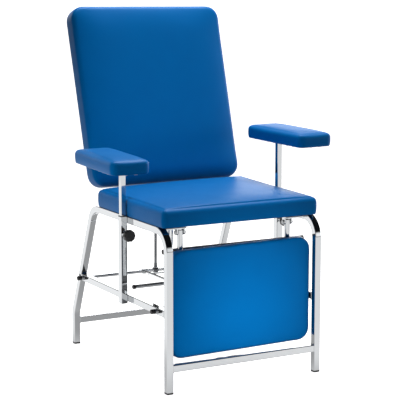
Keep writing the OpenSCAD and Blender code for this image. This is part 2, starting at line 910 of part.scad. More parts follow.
module legrest_arm_left() {
    color(chrome) place() mirror([1, 0, 0]) legrest_arm();
}

module legrest_arm_right() {
    color(chrome) place() legrest_arm();
}

module legrest_arm_plugs() {
    plug_d = leg_arm_d - 2 * leg_arm_wall;
    color(plastic) place() both_sides() translate([arm_x, hinge_y, hinge_z - leg_arm_drop]) {
        cylinder(d = plug_d, h = foot_plug_h / 2);
        translate([0, 0, -plug_rim]) cylinder(d = leg_arm_d, h = plug_rim);
    }
}

// The cross tube with its two ears for the link
module legrest_cross_tube() {
    tube_l = 2 * (inner_x - leg_arm_wall - cross_plug_l);
    color(chrome) place() translate([0, hinge_y, cross_tube_z]) {
        pipe_x(cross_tube_d, cross_tube_d - 2 * leg_arm_wall, tube_l);
        crank_ears(crank_l - cross_tube_drop, cross_tube_d / 2, cross_tube_d);
    }
}

// Black plugs close the ends of the cross tube
module cross_tube_plugs() {
    end_x = inner_x - leg_arm_wall - cross_plug_l;
    color(plastic) place() both_sides() translate([end_x, hinge_y, cross_tube_z]) rotate([0, 90, 0]) {
        cylinder(d = cross_tube_d, h = cross_plug_l);
        translate([0, 0, -foot_plug_h / 2])
            cylinder(d = cross_tube_d - 2 * leg_arm_wall, h = foot_plug_h / 2);
    }
}

module legrest_place() {
    translate([0, leg_back_y, leg_bottom_z + leg_l / 2]) rotate([90, 0, 0]) children();
}

module legrest_board() {
    color(plywood) place() legrest_place() pad_board(leg_w, leg_l, board_t, leg_corner_r);
}

module legrest_cushion() {
    color(vinyl) place() legrest_place()
        pad_cushion(leg_w, leg_l, leg_t, leg_corner_r, leg_edge_r, leg_crown, board_t);
}

// Link between the backrest's crank and the ears of the legrest's cross tube

module link_bar() {
    run_y = pivot_y - hinge_y;
    run_z = pivot_z - hinge_z;
    color(steel) place() translate([0, hinge_y, link_front_z]) difference() {
        plate_x(link_t) {
            circle(link_eye_r);
            translate([run_y, run_z]) circle(link_eye_r);
            rotate(atan2(run_z, run_y)) translate([0, -link_h / 2]) square([norm([run_y, run_z]), link_h]);
        }
        rod_x(bolt_d + 2 * play, link_t + 2 * cut);
        translate([0, run_y, run_z]) rod_x(bolt_d + 2 * play, link_t + 2 * cut);
    }
}

module link_pin() {
    color(steel) place() translate([0, pivot_y, pivot_z - crank_l]) ear_pin();
}

module legrest_link_pin() {
    color(steel) place() translate([0, hinge_y, link_front_z]) ear_pin();
}

// Gas spring: the rod stands on the rear tie rod, the cylinder hangs from the backrest

module on_strut() {
    translate([0, rear_rod_y, rod_z]) rotate([strut_angle, 0, 0]) children();
}

// A rod with its foot eye, the valve's button and the piston
module strut_rod() {
    piston_z = strut_tube_z + piston_in;
    color("dimgray") place() on_strut() difference() {
        union() {
            rod_x(foot_eye_d, eye_w);
            cylinder(d = eye_w, h = eye_neck);
            cylinder(d = strut_rod_d, h = piston_z + piston_l);
            translate([0, 0, piston_z]) cylinder(r = strut_bore / 2 - play, h = piston_l);
            translate([0, -foot_eye_d / 2 - tongue_d / 2, 0]) rod_y(tongue_d, foot_eye_d / 2);
        }
        rod_x(tie_rod_d + 2 * play, eye_w + 2 * cut);
    }
}

// The cylinder is bored for the rod over its whole stroke and ends in the wide upper eye
module strut_cylinder() {
    seal_l = strut_tube_d / 2;
    color("#2a2b2e") place() on_strut() difference() {
        union() {
            translate([0, 0, strut_tube_z]) cylinder(d = strut_tube_d, h = strut_tube_l);
            translate([0, 0, strut_l - eye_neck - cut]) cylinder(d = eye_w, h = eye_neck / 2 + cut);
            translate([0, 0, strut_l]) rod_x(anchor_eye_d, eye_w);
        }
        translate([0, 0, strut_tube_z - cut]) cylinder(r = strut_rod_d / 2 + play, h = seal_l + 2 * cut);
        translate([0, 0, strut_tube_z + seal_l]) cylinder(d = strut_bore, h = strut_tube_l - 2 * seal_l);
        translate([0, 0, strut_l]) rod_x(anchor_eye_d - 2 * anchor_wall, eye_w + 2 * cut);
    }
}

// Release lever: a fork that turns on the rear tie rod and a bar across its front

module release_fork() {
    reach = rear_rod_y - lever_bar_y;
    color(chrome) place() translate([0, rear_rod_y, rod_z]) difference() {
        union() {
            both_sides() translate([lever_span / 2, 0, 0]) {
                rod_x(hub_d, hub_l);
                rotate([180, 0, 0]) rod_y(lever_arm_d, reach);
            }
            translate([0, -tongue_y, -tongue_d]) rod_x(tongue_d, lever_span);
        }
        rod_x(tie_rod_d + 2 * play, lever_span + 2 * hub_l);
        translate([0, -reach, 0]) rod_x(lever_bar_d, lever_span + 2 * hub_l);
    }
}

module release_bar() {
    color(chrome) place() translate([0, lever_bar_y, rod_z]) rod_x(lever_bar_d, lever_bar_l);
}

module release_bar_caps() {
    color(plastic) place() both_sides() translate([lever_bar_l / 2, lever_bar_y, rod_z])
        rotate([0, 90, 0]) {
            translate([0, 0, -lever_cap_l + tube_wall]) difference() {
                cylinder(d = lever_cap_d, h = lever_cap_l);
                translate([0, 0, -cut]) cylinder(d = lever_bar_d, h = lever_cap_l + cut - tube_wall);
            }
        }
}

// Armrests

// A post with the plate welded to its top
module armrest_post(z) {
    translate([sleeve_x, post_y, z - arm_plate_t]) {
        translate([0, 0, -post_l]) tube_straight(post_l, post_w, post_wall);
        translate([(arm_plate_w - post_w) / 2, 0, 0]) block(arm_plate_w, arm_plate_l, arm_plate_t);
    }
}

module armrest_post_left() {
    color(chrome) place() mirror([1, 0, 0]) armrest_post(left_arm_z);
}

module armrest_post_right() {
    color(chrome) place() armrest_post(right_arm_z);
}

// A glide plugs the lower end of a post and guides it in the sleeve
module post_glide(z) {
    translate([sleeve_x, post_y, z - arm_plate_t - post_l]) {
        block(post_w - 2 * post_wall, post_w - 2 * post_wall, post_w);
        translate([0, 0, -post_w / 2]) block(sleeve_bore - 2 * play, sleeve_bore - 2 * play, post_w / 2);
    }
}

module post_glides_left() {
    color(plastic) place() mirror([1, 0, 0]) post_glide(left_arm_z);
}

module post_glides_right() {
    color(plastic) place() post_glide(right_arm_z);
}

module armrest_place(z) {
    translate([arm_pad_x, post_y, z]) children();
}

module armrest_board_left() {
    color(plywood) place() mirror([1, 0, 0]) armrest_place(left_arm_z)
        pad_board(arm_pad_w, arm_pad_l, arm_board_t, arm_corner_r);
}

module armrest_board_right() {
    color(plywood) place() armrest_place(right_arm_z)
        pad_board(arm_pad_w, arm_pad_l, arm_board_t, arm_corner_r);
}

module armrest_cushion(z) {
    armrest_place(z)
        pad_cushion(arm_pad_w, arm_pad_l, arm_pad_t, arm_corner_r, arm_edge_r, arm_pad_crown, arm_board_t);
}

module armrest_cushion_left() {
    color(vinyl) place() mirror([1, 0, 0]) armrest_cushion(left_arm_z);
}

module armrest_cushion_right() {
    color(vinyl) place() armrest_cushion(right_arm_z);
}

// Clamp knobs

// A lobed head on a round hub, with the blind bore that the stud fills
module clamp_knob() {
    lobe_r = knob_d / 7;
    core_r = knob_d / 2 - lobe_r;
    translate([sleeve_x, knob_back_y, knob_z]) rotate([90, 0, 0]) difference() {
        union() {
            cylinder(d = knob_hub_d, h = knob_hub_l + cut);
            translate([0, 0, knob_hub_l]) {
                cylinder(r = core_r, h = knob_t);
                for (k = [0:knob_lobes - 1]) {
                    rotate(360 * k / knob_lobes) translate([core_r, 0, 0]) cylinder(r = lobe_r, h = knob_t);
                }
            }
        }
        translate([0, 0, -cut]) cylinder(d = stud_d, h = knob_hub_l + knob_t / 2 + cut);
    }
}

module clamp_knob_left() {
    color(plastic) place() mirror([1, 0, 0]) clamp_knob();
}

module clamp_knob_right() {
    color(plastic) place() clamp_knob();
}

// The stud runs from inside the knob through the boss to the post's face
module clamp_stud() {
    tip_y = post_y - post_w / 2 - gap;
    root_y = knob_back_y - knob_hub_l - knob_t / 2;
    translate([sleeve_x, root_y, knob_z]) rod_y(stud_d, tip_y - root_y);
}

module clamp_stud_left() {
    color(steel) place() mirror([1, 0, 0]) clamp_stud();
}

module clamp_stud_right() {
    color(steel) place() clamp_stud();
}

side_frame_left();
side_frame_right();
side_rail_left();
side_rail_right();
front_cross_rail();
rear_cross_rail();
plug_feet();
post_sleeve_left();
post_sleeve_right();
sleeve_bushes();
clamp_bosses();
front_tie_rod();
rear_tie_rod();
tie_rod_washers();
tie_rod_caps();
legrest_bracket_left();
legrest_bracket_right();
legrest_pivot_bolts();
seat_board();
seat_cushion();
recline_pins();
recline_tube();
back_upright_left();
back_upright_right();
upright_plugs();
back_cross_bar();
strut_anchor_pin();
back_board();
back_cushion();
legrest_arm_left();
legrest_arm_right();
legrest_arm_plugs();
legrest_cross_tube();
cross_tube_plugs();
legrest_link_pin();
legrest_board();
legrest_cushion();
link_bar();
link_pin();
strut_rod();
strut_cylinder();
release_fork();
release_bar();
release_bar_caps();
armrest_post_left();
armrest_post_right();
post_glides_left();
post_glides_right();
armrest_board_left();
armrest_board_right();
armrest_cushion_left();
armrest_cushion_right();
clamp_knob_left();
clamp_knob_right();
clamp_stud_left();
clamp_stud_right();
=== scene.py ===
import math

import bpy
import bmesh
from mathutils import Matrix, Vector


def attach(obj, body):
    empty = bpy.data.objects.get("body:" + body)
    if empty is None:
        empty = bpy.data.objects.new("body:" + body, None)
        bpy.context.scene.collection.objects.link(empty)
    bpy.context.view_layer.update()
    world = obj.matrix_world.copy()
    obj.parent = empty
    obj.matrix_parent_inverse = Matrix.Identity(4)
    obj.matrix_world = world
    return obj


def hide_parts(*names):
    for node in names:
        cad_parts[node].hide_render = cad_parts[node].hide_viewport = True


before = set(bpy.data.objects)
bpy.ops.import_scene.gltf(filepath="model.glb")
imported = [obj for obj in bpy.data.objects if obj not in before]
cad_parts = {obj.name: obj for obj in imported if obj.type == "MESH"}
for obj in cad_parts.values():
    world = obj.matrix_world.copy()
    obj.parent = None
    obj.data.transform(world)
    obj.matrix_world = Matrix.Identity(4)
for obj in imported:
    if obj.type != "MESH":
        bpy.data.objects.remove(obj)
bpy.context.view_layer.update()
print("frame loaded:", len(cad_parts), "nodes")

# chair sizes in mm, y counted from the front legs' face as in the part's source
chair = {
    "originY": 363.7595,
    "tube": 22.0,
    "tubeCorner": 2.4,
    "frameHalf": 274.0,
    "depth": 712.0,
    "railTop": 507.0,
    "footHeight": 6.0,
    "bendRadius": 64.0,
    "rearLean": 22.7,
    "rearBend": 97.0,
    "sideRail": 235.0,
    "frontRailZ": 79.0,
    "rearRailZ": 83.0,
    "padFront": 21.0,
}


across, lengthwise, upward = Vector((1, 0, 0)), Vector((0, 1, 0)), Vector((0, 0, 1))


def mm(x, y, z):
    return Vector((x, y - chair["originY"], z)) / 1000


def toLinear(code):
    parts = [int(code[i:i + 2], 16) / 255 for i in (1, 3, 5)]
    return tuple(c / 12.92 if c <= 0.04045 else ((c + 0.055) / 1.055) ** 2.4 for c in parts) + (1.0,)


def addNode(tree, kind, settings=None, links=None, into=None):
    # links lead into the node by input, into leads out of it by output
    node = tree.nodes.new(kind)
    for key, value in (settings or {}).items():
        if isinstance(key, str) and hasattr(node, key):
            setattr(node, key, value)
        else:
            node.inputs[key].default_value = value
    for key, socket in (links or {}).items():
        tree.links.new(socket, node.inputs[key])
    for key, socket in (into or {}).items():
        tree.links.new(node.outputs[key], socket)
    return node


def newMaterial(name, look, metallic, settings=None):
    material = bpy.data.materials.new(name)
    material.use_nodes = True
    tree = material.node_tree
    tree.nodes.clear()
    shader = addNode(tree, "ShaderNodeBsdfPrincipled",
                     {"Base Color": toLinear(look["colour"]), "Metallic": metallic, "Roughness": look["roughness"]})
    for key, value in (settings or {}).items():
        shader.inputs[key].default_value = value
    addNode(tree, "ShaderNodeOutputMaterial", links={"Surface": shader.outputs["BSDF"]})
    place = addNode(tree, "ShaderNodeTexCoord")
    return material, tree, shader.inputs, place.outputs["Object"]


# PVC-coated upholstery cloth, calendered and embossed: satin, with a fine leather grain
vinylLook = {"colour": "#006cb4", "shade": "#0067ae", "gloss": "#2a6cc8", "level": 0.25,
             "roughness": 0.45, "smooth": 0.4, "rough": 0.51,
             "grainMm": 1.8, "grainBump": 0.14, "grainDeepMm": 0.4,
             "swellMm": 80.0, "swellBump": 0.15, "swellDeepMm": 4.0,
             # the crease keys set the painted shade in the creases between pads
             "creaseMm": 75.0, "creaseTone": 0.22, "creaseShut": 0.25, "creaseOpen": 0.8}


def makeVinyl():
    look = vinylLook
    material, tree, inputs, place = newMaterial("embossedVinyl", look, 0.0, {
        "IOR": 1.5, "Specular IOR Level": look["level"], "Specular Tint": toLinear(look["gloss"])})
    # the grain is about 0.8 mm on the real cloth, drawn at twice that so that it shows
    grain = addNode(tree, "ShaderNodeTexVoronoi", {"Scale": 1000 / look["grainMm"], "Randomness": 1.0},
                    {"Vector": place})
    swell = addNode(tree, "ShaderNodeTexNoise", {"Scale": 1000 / look["swellMm"], "Detail": 3.0},
                    {"Vector": place})
    tint = addNode(tree, "ShaderNodeMix",
                   {"data_type": "RGBA", 6: toLinear(look["colour"]), 7: toLinear(look["shade"])},
                   {0: swell.outputs["Fac"]})
    # painted shade: the base colour darkens where other surfaces come near, in the creases between two pads
    crease = addNode(tree, "ShaderNodeAmbientOcclusion", {"samples": 6, "Distance": look["creaseMm"] / 1000})
    paintedCreaseShade = addNode(tree, "ShaderNodeMapRange",
                   {"From Min": look["creaseShut"], "From Max": look["creaseOpen"], "To Min": look["creaseTone"],
                    "To Max": 1.0}, {"Value": crease.outputs["AO"]})
    addNode(tree, "ShaderNodeMix", {"data_type": "RGBA", "blend_type": "MULTIPLY", 0: 1.0},
            {6: tint.outputs[2], 7: paintedCreaseShade.outputs["Result"]}, {2: inputs["Base Color"]})
    addNode(tree, "ShaderNodeMapRange", {"To Min": look["smooth"], "To Max": look["rough"]},
            {"Value": swell.outputs["Fac"]}, {"Result": inputs["Roughness"]})
    soft = addNode(tree, "ShaderNodeBump", {"Strength": look["swellBump"], "Distance": look["swellDeepMm"] / 1000},
                   {"Height": swell.outputs["Fac"]})
    addNode(tree, "ShaderNodeBump", {"Strength": look["grainBump"], "Distance": look["grainDeepMm"] / 1000},
            {"Height": grain.outputs["Distance"], "Normal": soft.outputs["Normal"]}, {"Normal": inputs["Normal"]})
    return material


# steel tube, ground, nickel and chrome plated: a mirror with the faint waves of drawn tube
chromeLook = {"colour": "#c9cbcd", "roughness": 0.06, "hazeMm": 9.0, "smooth": 0.025, "rough": 0.075,
              "waveMm": 55.0, "waveBump": 0.08, "waveDeepMm": 1.0}


def makeChrome():
    look = chromeLook
    material, tree, inputs, place = newMaterial("platedChrome", look, 1.0)
    haze = addNode(tree, "ShaderNodeTexNoise", {"Scale": 1000 / look["hazeMm"], "Detail": 4.0}, {"Vector": place})
    wave = addNode(tree, "ShaderNodeTexNoise", {"Scale": 1000 / look["waveMm"], "Detail": 1.0}, {"Vector": place})
    addNode(tree, "ShaderNodeMapRange", {"To Min": look["smooth"], "To Max": look["rough"]},
            {"Value": haze.outputs["Fac"]}, {"Result": inputs["Roughness"]})
    addNode(tree, "ShaderNodeBump", {"Strength": look["waveBump"], "Distance": look["waveDeepMm"] / 1000},
            {"Height": wave.outputs["Fac"]}, {"Normal": inputs["Normal"]})
    return material


# mild steel, turned or blanked, zinc plated: dull grey with a slight sparkle
zincLook = {"colour": "#b9bbbd", "roughness": 0.36, "grainMm": 1.2, "smooth": 0.28, "rough": 0.46}


def makeZinc():
    look = zincLook
    material, tree, inputs, place = newMaterial("zincSteel", look, 1.0)
    grain = addNode(tree, "ShaderNodeTexNoise", {"Scale": 1000 / look["grainMm"], "Detail": 2.0}, {"Vector": place})
    addNode(tree, "ShaderNodeMapRange", {"To Min": look["smooth"], "To Max": look["rough"]},
            {"Value": grain.outputs["Fac"]}, {"Result": inputs["Roughness"]})
    return material


# glass-filled nylon, injection moulded: black with a fine spark-eroded texture
nylonLook = {"colour": "#141416", "roughness": 0.46, "grainMm": 0.9, "smooth": 0.4, "rough": 0.54,
             "grainBump": 0.2, "grainDeepMm": 0.3}


def makeNylon():
    look = nylonLook
    material, tree, inputs, place = newMaterial("mouldedNylon", look, 0.0, {"IOR": 1.53})
    grain = addNode(tree, "ShaderNodeTexNoise", {"Scale": 1000 / look["grainMm"], "Detail": 2.0}, {"Vector": place})
    addNode(tree, "ShaderNodeBump", {"Strength": look["grainBump"], "Distance": look["grainDeepMm"] / 1000},
            {"Height": grain.outputs["Fac"]}, {"Normal": inputs["Normal"]})
    addNode(tree, "ShaderNodeMapRange", {"To Min": look["smooth"], "To Max": look["rough"]},
            {"Value": grain.outputs["Fac"]}, {"Result": inputs["Roughness"]})
    return material


# drawn steel cylinder, stove enamelled: smooth satin black
enamelLook = {"colour": "#1b1c1f", "roughness": 0.3, "coat": 0.3, "peelMm": 2.5, "peelBump": 0.08,
              "peelDeepMm": 0.4}


def makeEnamel():
    look = enamelLook
    material, tree, inputs, place = newMaterial("stoveEnamel", look, 0.0, {"IOR": 1.5, "Coat Weight": look["coat"]})
    peel = addNode(tree, "ShaderNodeTexNoise", {"Scale": 1000 / look["peelMm"], "Detail": 1.0}, {"Vector": place})
    addNode(tree, "ShaderNodeBump", {"Strength": look["peelBump"], "Distance": look["peelDeepMm"] / 1000},
            {"Height": peel.outputs["Fac"]}, {"Normal": inputs["Normal"]})
    return material


# piston rod, ground and nitrided: dark grey and polished
nitrideLook = {"colour": "#77797c", "roughness": 0.16, "turnMm": 0.8, "smooth": 0.12, "rough": 0.2}


def makeNitride():
    look = nitrideLook
    material, tree, inputs, place = newMaterial("nitridedRod", look, 1.0)
    # the wave's phase grows by 20 a metre at scale 1, so this is one radian each turnMm and a band about each
    # 5 mm, far coarser than grinding marks so that it shows
    band = addNode(tree, "ShaderNodeTexWave",
                   {"bands_direction": "Z", "Scale": 1000 / look["turnMm"] / 20, "Distortion": 1.0},
                   {"Vector": place})
    addNode(tree, "ShaderNodeMapRange", {"To Min": look["smooth"], "To Max": look["rough"]},
            {"Value": band.outputs["Fac"]}, {"Result": inputs["Roughness"]})
    return material


# plywood sealed in grey: matt, with the grain showing faintly through
plyLook = {"colour": "#96989a", "dark": "#828486", "roughness": 0.6, "grainMm": 6.0, "grainLong": 0.04,
           "grainBump": 0.12, "grainDeepMm": 0.5}


def makePly(name, alongAxis):
    look = plyLook
    material, tree, inputs, place = newMaterial(name, look, 0.0, {"IOR": 1.48})
    stretch = [1.0, 1.0, 1.0]
    stretch[alongAxis] = look["grainLong"]
    mapping = addNode(tree, "ShaderNodeMapping", {"Scale": stretch}, {"Vector": place})
    grain = addNode(tree, "ShaderNodeTexNoise", {"Scale": 1000 / look["grainMm"], "Detail": 6.0, "Roughness": 0.6},
                    {"Vector": mapping.outputs["Vector"]})
    addNode(tree, "ShaderNodeMix", {"data_type": "RGBA", 6: toLinear(look["colour"]), 7: toLinear(look["dark"])},
            {0: grain.outputs["Fac"]}, {2: inputs["Base Color"]})
    addNode(tree, "ShaderNodeBump", {"Strength": look["grainBump"], "Distance": look["grainDeepMm"] / 1000},
            {"Height": grain.outputs["Fac"]}, {"Normal": inputs["Normal"]})
    return material


vinyl = makeVinyl()
chrome = makeChrome()
zinc = makeZinc()
nylon = makeNylon()
enamel = makeEnamel()
nitride = makeNitride()
plyFlat = makePly("sealedPlyAcross", 0)
plyTall = makePly("sealedPlyUpright", 2)
print("materials made")


def joinShapes(shapes):
    verts, faces = [], []
    for shapeVerts, shapeFaces in shapes:
        start = len(verts)
        verts += shapeVerts
        faces += [tuple(start + i for i in face) for face in shapeFaces]
    return verts, faces


# edges sharper than this many degrees stay crisp
creaseAngle = {"tubes": 40.0, "turned": 50.0, "hexagons": 25.0}


def makePiece(name, shapes, material, body, nodes=(), crease="tubes"):
    verts, faces = joinShapes(shapes)
    mesh = bpy.data.meshes.new(name)
    mesh.from_pydata([tuple(v) for v in verts], [], faces)
    mesh.validate()
    work = bmesh.new()
    work.from_mesh(mesh)
    bmesh.ops.recalc_face_normals(work, faces=work.faces)
    work.to_mesh(mesh)
    work.free()
    mesh.materials.append(material)
    mesh.shade_smooth()
    piece = bpy.data.objects.new(name, mesh)
    bpy.context.collection.objects.link(piece)
    sharpenEdges(piece, creaseAngle[crease])
    even = piece.modifiers.new("evenFaces", "WEIGHTED_NORMAL")
    even.keep_sharp = True
    even.weight = 100
    finishPiece(piece, body, nodes)


def finishPiece(piece, body, nodes):
    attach(piece, body)
    if nodes:
        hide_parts(*nodes)


def sharpenEdges(piece, angle):
    # a crease at every edge sharper than the angle, the rest stays smooth
    work = bmesh.new()
    work.from_mesh(piece.data)
    for edge in work.edges:
        if len(edge.link_faces) == 2:
            edge.smooth = edge.calc_face_angle(0.0) < math.radians(angle)
    work.to_mesh(piece.data)
    work.free()


def roundedOutline(width, length, corner, steps):
    points = []
    for q in range(4):
        cx = (width / 2 - corner) * (1, -1, -1, 1)[q]
        cy = (length / 2 - corner) * (1, 1, -1, -1)[q]
        for k in range(steps + 1):
            a = math.radians(90 * q + 90 * k / steps)
            points.append((cx + corner * math.cos(a), cy + corner * math.sin(a)))
    return points


def squareLoop(width, corner, steps=4):
    # a rounded square as points across a tube
    return roundedOutline(width, width, corner, steps)


def roundLoop(radius, steps=32):
    return [(radius * math.cos(2 * math.pi * k / steps), radius * math.sin(2 * math.pi * k / steps))
            for k in range(steps)]


def ringFaces(rows, count, closed=False):
    # faces between rings of points, each ring closed on itself, the last one also to the first if closed
    faces = []
    for i in range(rows if closed else rows - 1):
        j = (i + 1) % rows
        for k in range(count):
            n = (k + 1) % count
            faces.append((i * count + k, i * count + n, j * count + n, j * count + k))
    return faces


def endFaces(rows, count):
    return [tuple(range(count - 1, -1, -1)), tuple((rows - 1) * count + k for k in range(count))]


def sweep(path, side, loop, closeEnds=True):
    # carries a loop along a path of (point, direction); side has length one and stays level all along
    verts = []
    for point, direction in path:
        up = direction.normalized().cross(side)
        verts += [point + side * (a / 1000) + up * (b / 1000) for a, b in loop]
    faces = ringFaces(len(path), len(loop))
    if closeEnds:
        faces += endFaces(len(path), len(loop))
    return verts, faces


def hollowSweep(path, side, loop, inner):
    # an open tube with a wall, seen at its ends
    outer, faces = sweep(path, side, loop, False)
    inside, insideFaces = sweep(path, side, inner, False)
    start = len(outer)
    faces += [tuple(start + i for i in reversed(face)) for face in insideFaces]
    count = len(loop)
    for row in (0, len(path) - 1):
        for k in range(count):
            n = (k + 1) % count
            faces.append((row * count + k, row * count + n, start + row * count + n, start + row * count + k))
    return outer + inside, faces


def lathe(profile, centre, axis, steps=32):
    # turns (radius, distance) points round an axis from a centre, all in mm
    axis = axis.normalized()
    side = axis.orthogonal().normalized()
    other = axis.cross(side)
    verts = []
    for radius, distance in profile:
        for k in range(steps):
            a = 2 * math.pi * k / steps
            verts.append(centre + axis * (distance / 1000)
                         + (side * math.cos(a) + other * math.sin(a)) * (radius / 1000))
    return verts, ringFaces(len(profile), steps) + endFaces(len(profile), steps)


def roundedEnd(radius, length, edge, steps=5):
    # a turned end with a rounded rim, from distance 0 out to its length
    points = [(radius, 0.0)]
    for k in range(steps + 1):
        a = math.radians(90 * k / steps)
        points.append((radius - edge + edge * math.cos(a), length - edge + edge * math.sin(a)))
    return points


# camera at the photograph's angle, fitted to its straight edges
camera = {"azimuth": -28.57, "elevation": 9.22, "place": (-2252.2, -3838.8, 1299.0), "focalPixels": 1480.4,
          "photoPixels": 400, "sensorMm": 36.0, "farClip": 250.0}


def makeCamera():
    data = bpy.data.cameras.new("photoCamera")
    data.sensor_width = camera["sensorMm"]
    data.lens = camera["focalPixels"] / camera["photoPixels"] * camera["sensorMm"]
    data.clip_end = camera["farClip"]
    lens = bpy.data.objects.new("photoCamera", data)
    bpy.context.collection.objects.link(lens)
    az, el = math.radians(camera["azimuth"]), math.radians(camera["elevation"])
    back = Vector((math.sin(az) * math.cos(el), -math.cos(az) * math.cos(el), math.sin(el)))
    lens.location = mm(*camera["place"])
    lens.rotation_euler = back.to_track_quat("Z", "Y").to_euler()
    bpy.context.scene.camera = lens


makeCamera()

# plain white floor for the eye, and the grey-to-white floor and dark ceiling that the chrome mirrors
studio = {
    "floor": {"colour": "#e9e9e9", "roughness": 0.6, "smooth": 0.55, "rough": 0.7},
    "mirrorFloor": {"colour": "#3c3c3e", "roughness": 0.8},
    "floorRadius": 80.0,
    "floorGlow": 1.0,
    "mirrorDrop": 0.0005,
    # glow of the mirrored floor: across one metre each way, dimmed under the chair as a painted shadow of it, and
    # far to the left
    "glowFront": 1.1,
    "glowBack": 1.3,
    "glowUnder": 0.42,
    "underWide": 0.4,
    "underDeep": 0.42,
    "underEdge": (0.5, 1.7),
    "glowFar": 0.25,
    "farFrom": (-1.5, 3.0, 0.0),
    "far": (7.2, 8.8),
    # the sky that is mirrored: white band at the horizon, brightest towards horizonAim
    "below": "#5a5a5c",
    "white": "#ffffff",
    "ceiling": "#0c0d0f",
    "horizonLow": 0.005,
    "horizonTop": 0.2,
    "ceilingStart": 0.34,
    "horizonAim": (0.9, 0.44, 0.0),
    "horizonTurn": (-0.2, 1.0),
    "horizonFront": 0.45,
    "horizonBack": 4.2,
    # name, place, aim, size, watts, spread in degrees, mirrored
    "lamps": (
        ("topSoftBox", (0.6, 0.6, 3.0), (0.0, 0.0, 0.5), 1.7, 90.0, 180, True),
        ("lowSoftBox", (0.05, -1.0, 0.46), (0.0, -0.34, 0.17), 0.45, 0.8, 54, False),
        ("backSoftBox", (-0.3, -1.3, 1.9), (0.0, 0.2, 0.88), 0.7, 0.55, 44, False),
        ("sideSoftBox", (-1.5, -0.2, 0.55), (-0.3, -0.1, 0.58), 0.5, 0.9, 60, False)),
}


def stageDisc(name, material, height):
    mesh = bpy.data.meshes.new(name)
    work = bmesh.new()
    bmesh.ops.create_circle(work, cap_ends=True, radius=studio["floorRadius"], segments=96)
    work.to_mesh(mesh)
    work.free()
    mesh.materials.append(material)
    disc = bpy.data.objects.new(name, mesh)
    disc.location.z = height
    bpy.context.collection.objects.link(disc)
    return disc


# a lamp that the camera doesn't see; only a glossy one shows in the chrome
def softBox(name, place, aim, size, watts, spread, glossy):
    light = bpy.data.lights.new(name, "AREA")
    light.size = size
    light.energy = watts
    light.spread = math.radians(spread)
    lamp = bpy.data.objects.new(name, light)
    lamp.location = place
    lamp.rotation_euler = (Vector(aim) - lamp.location).to_track_quat("-Z", "Y").to_euler()
    lamp.visible_glossy = glossy
    lamp.visible_camera = False
    bpy.context.collection.objects.link(lamp)


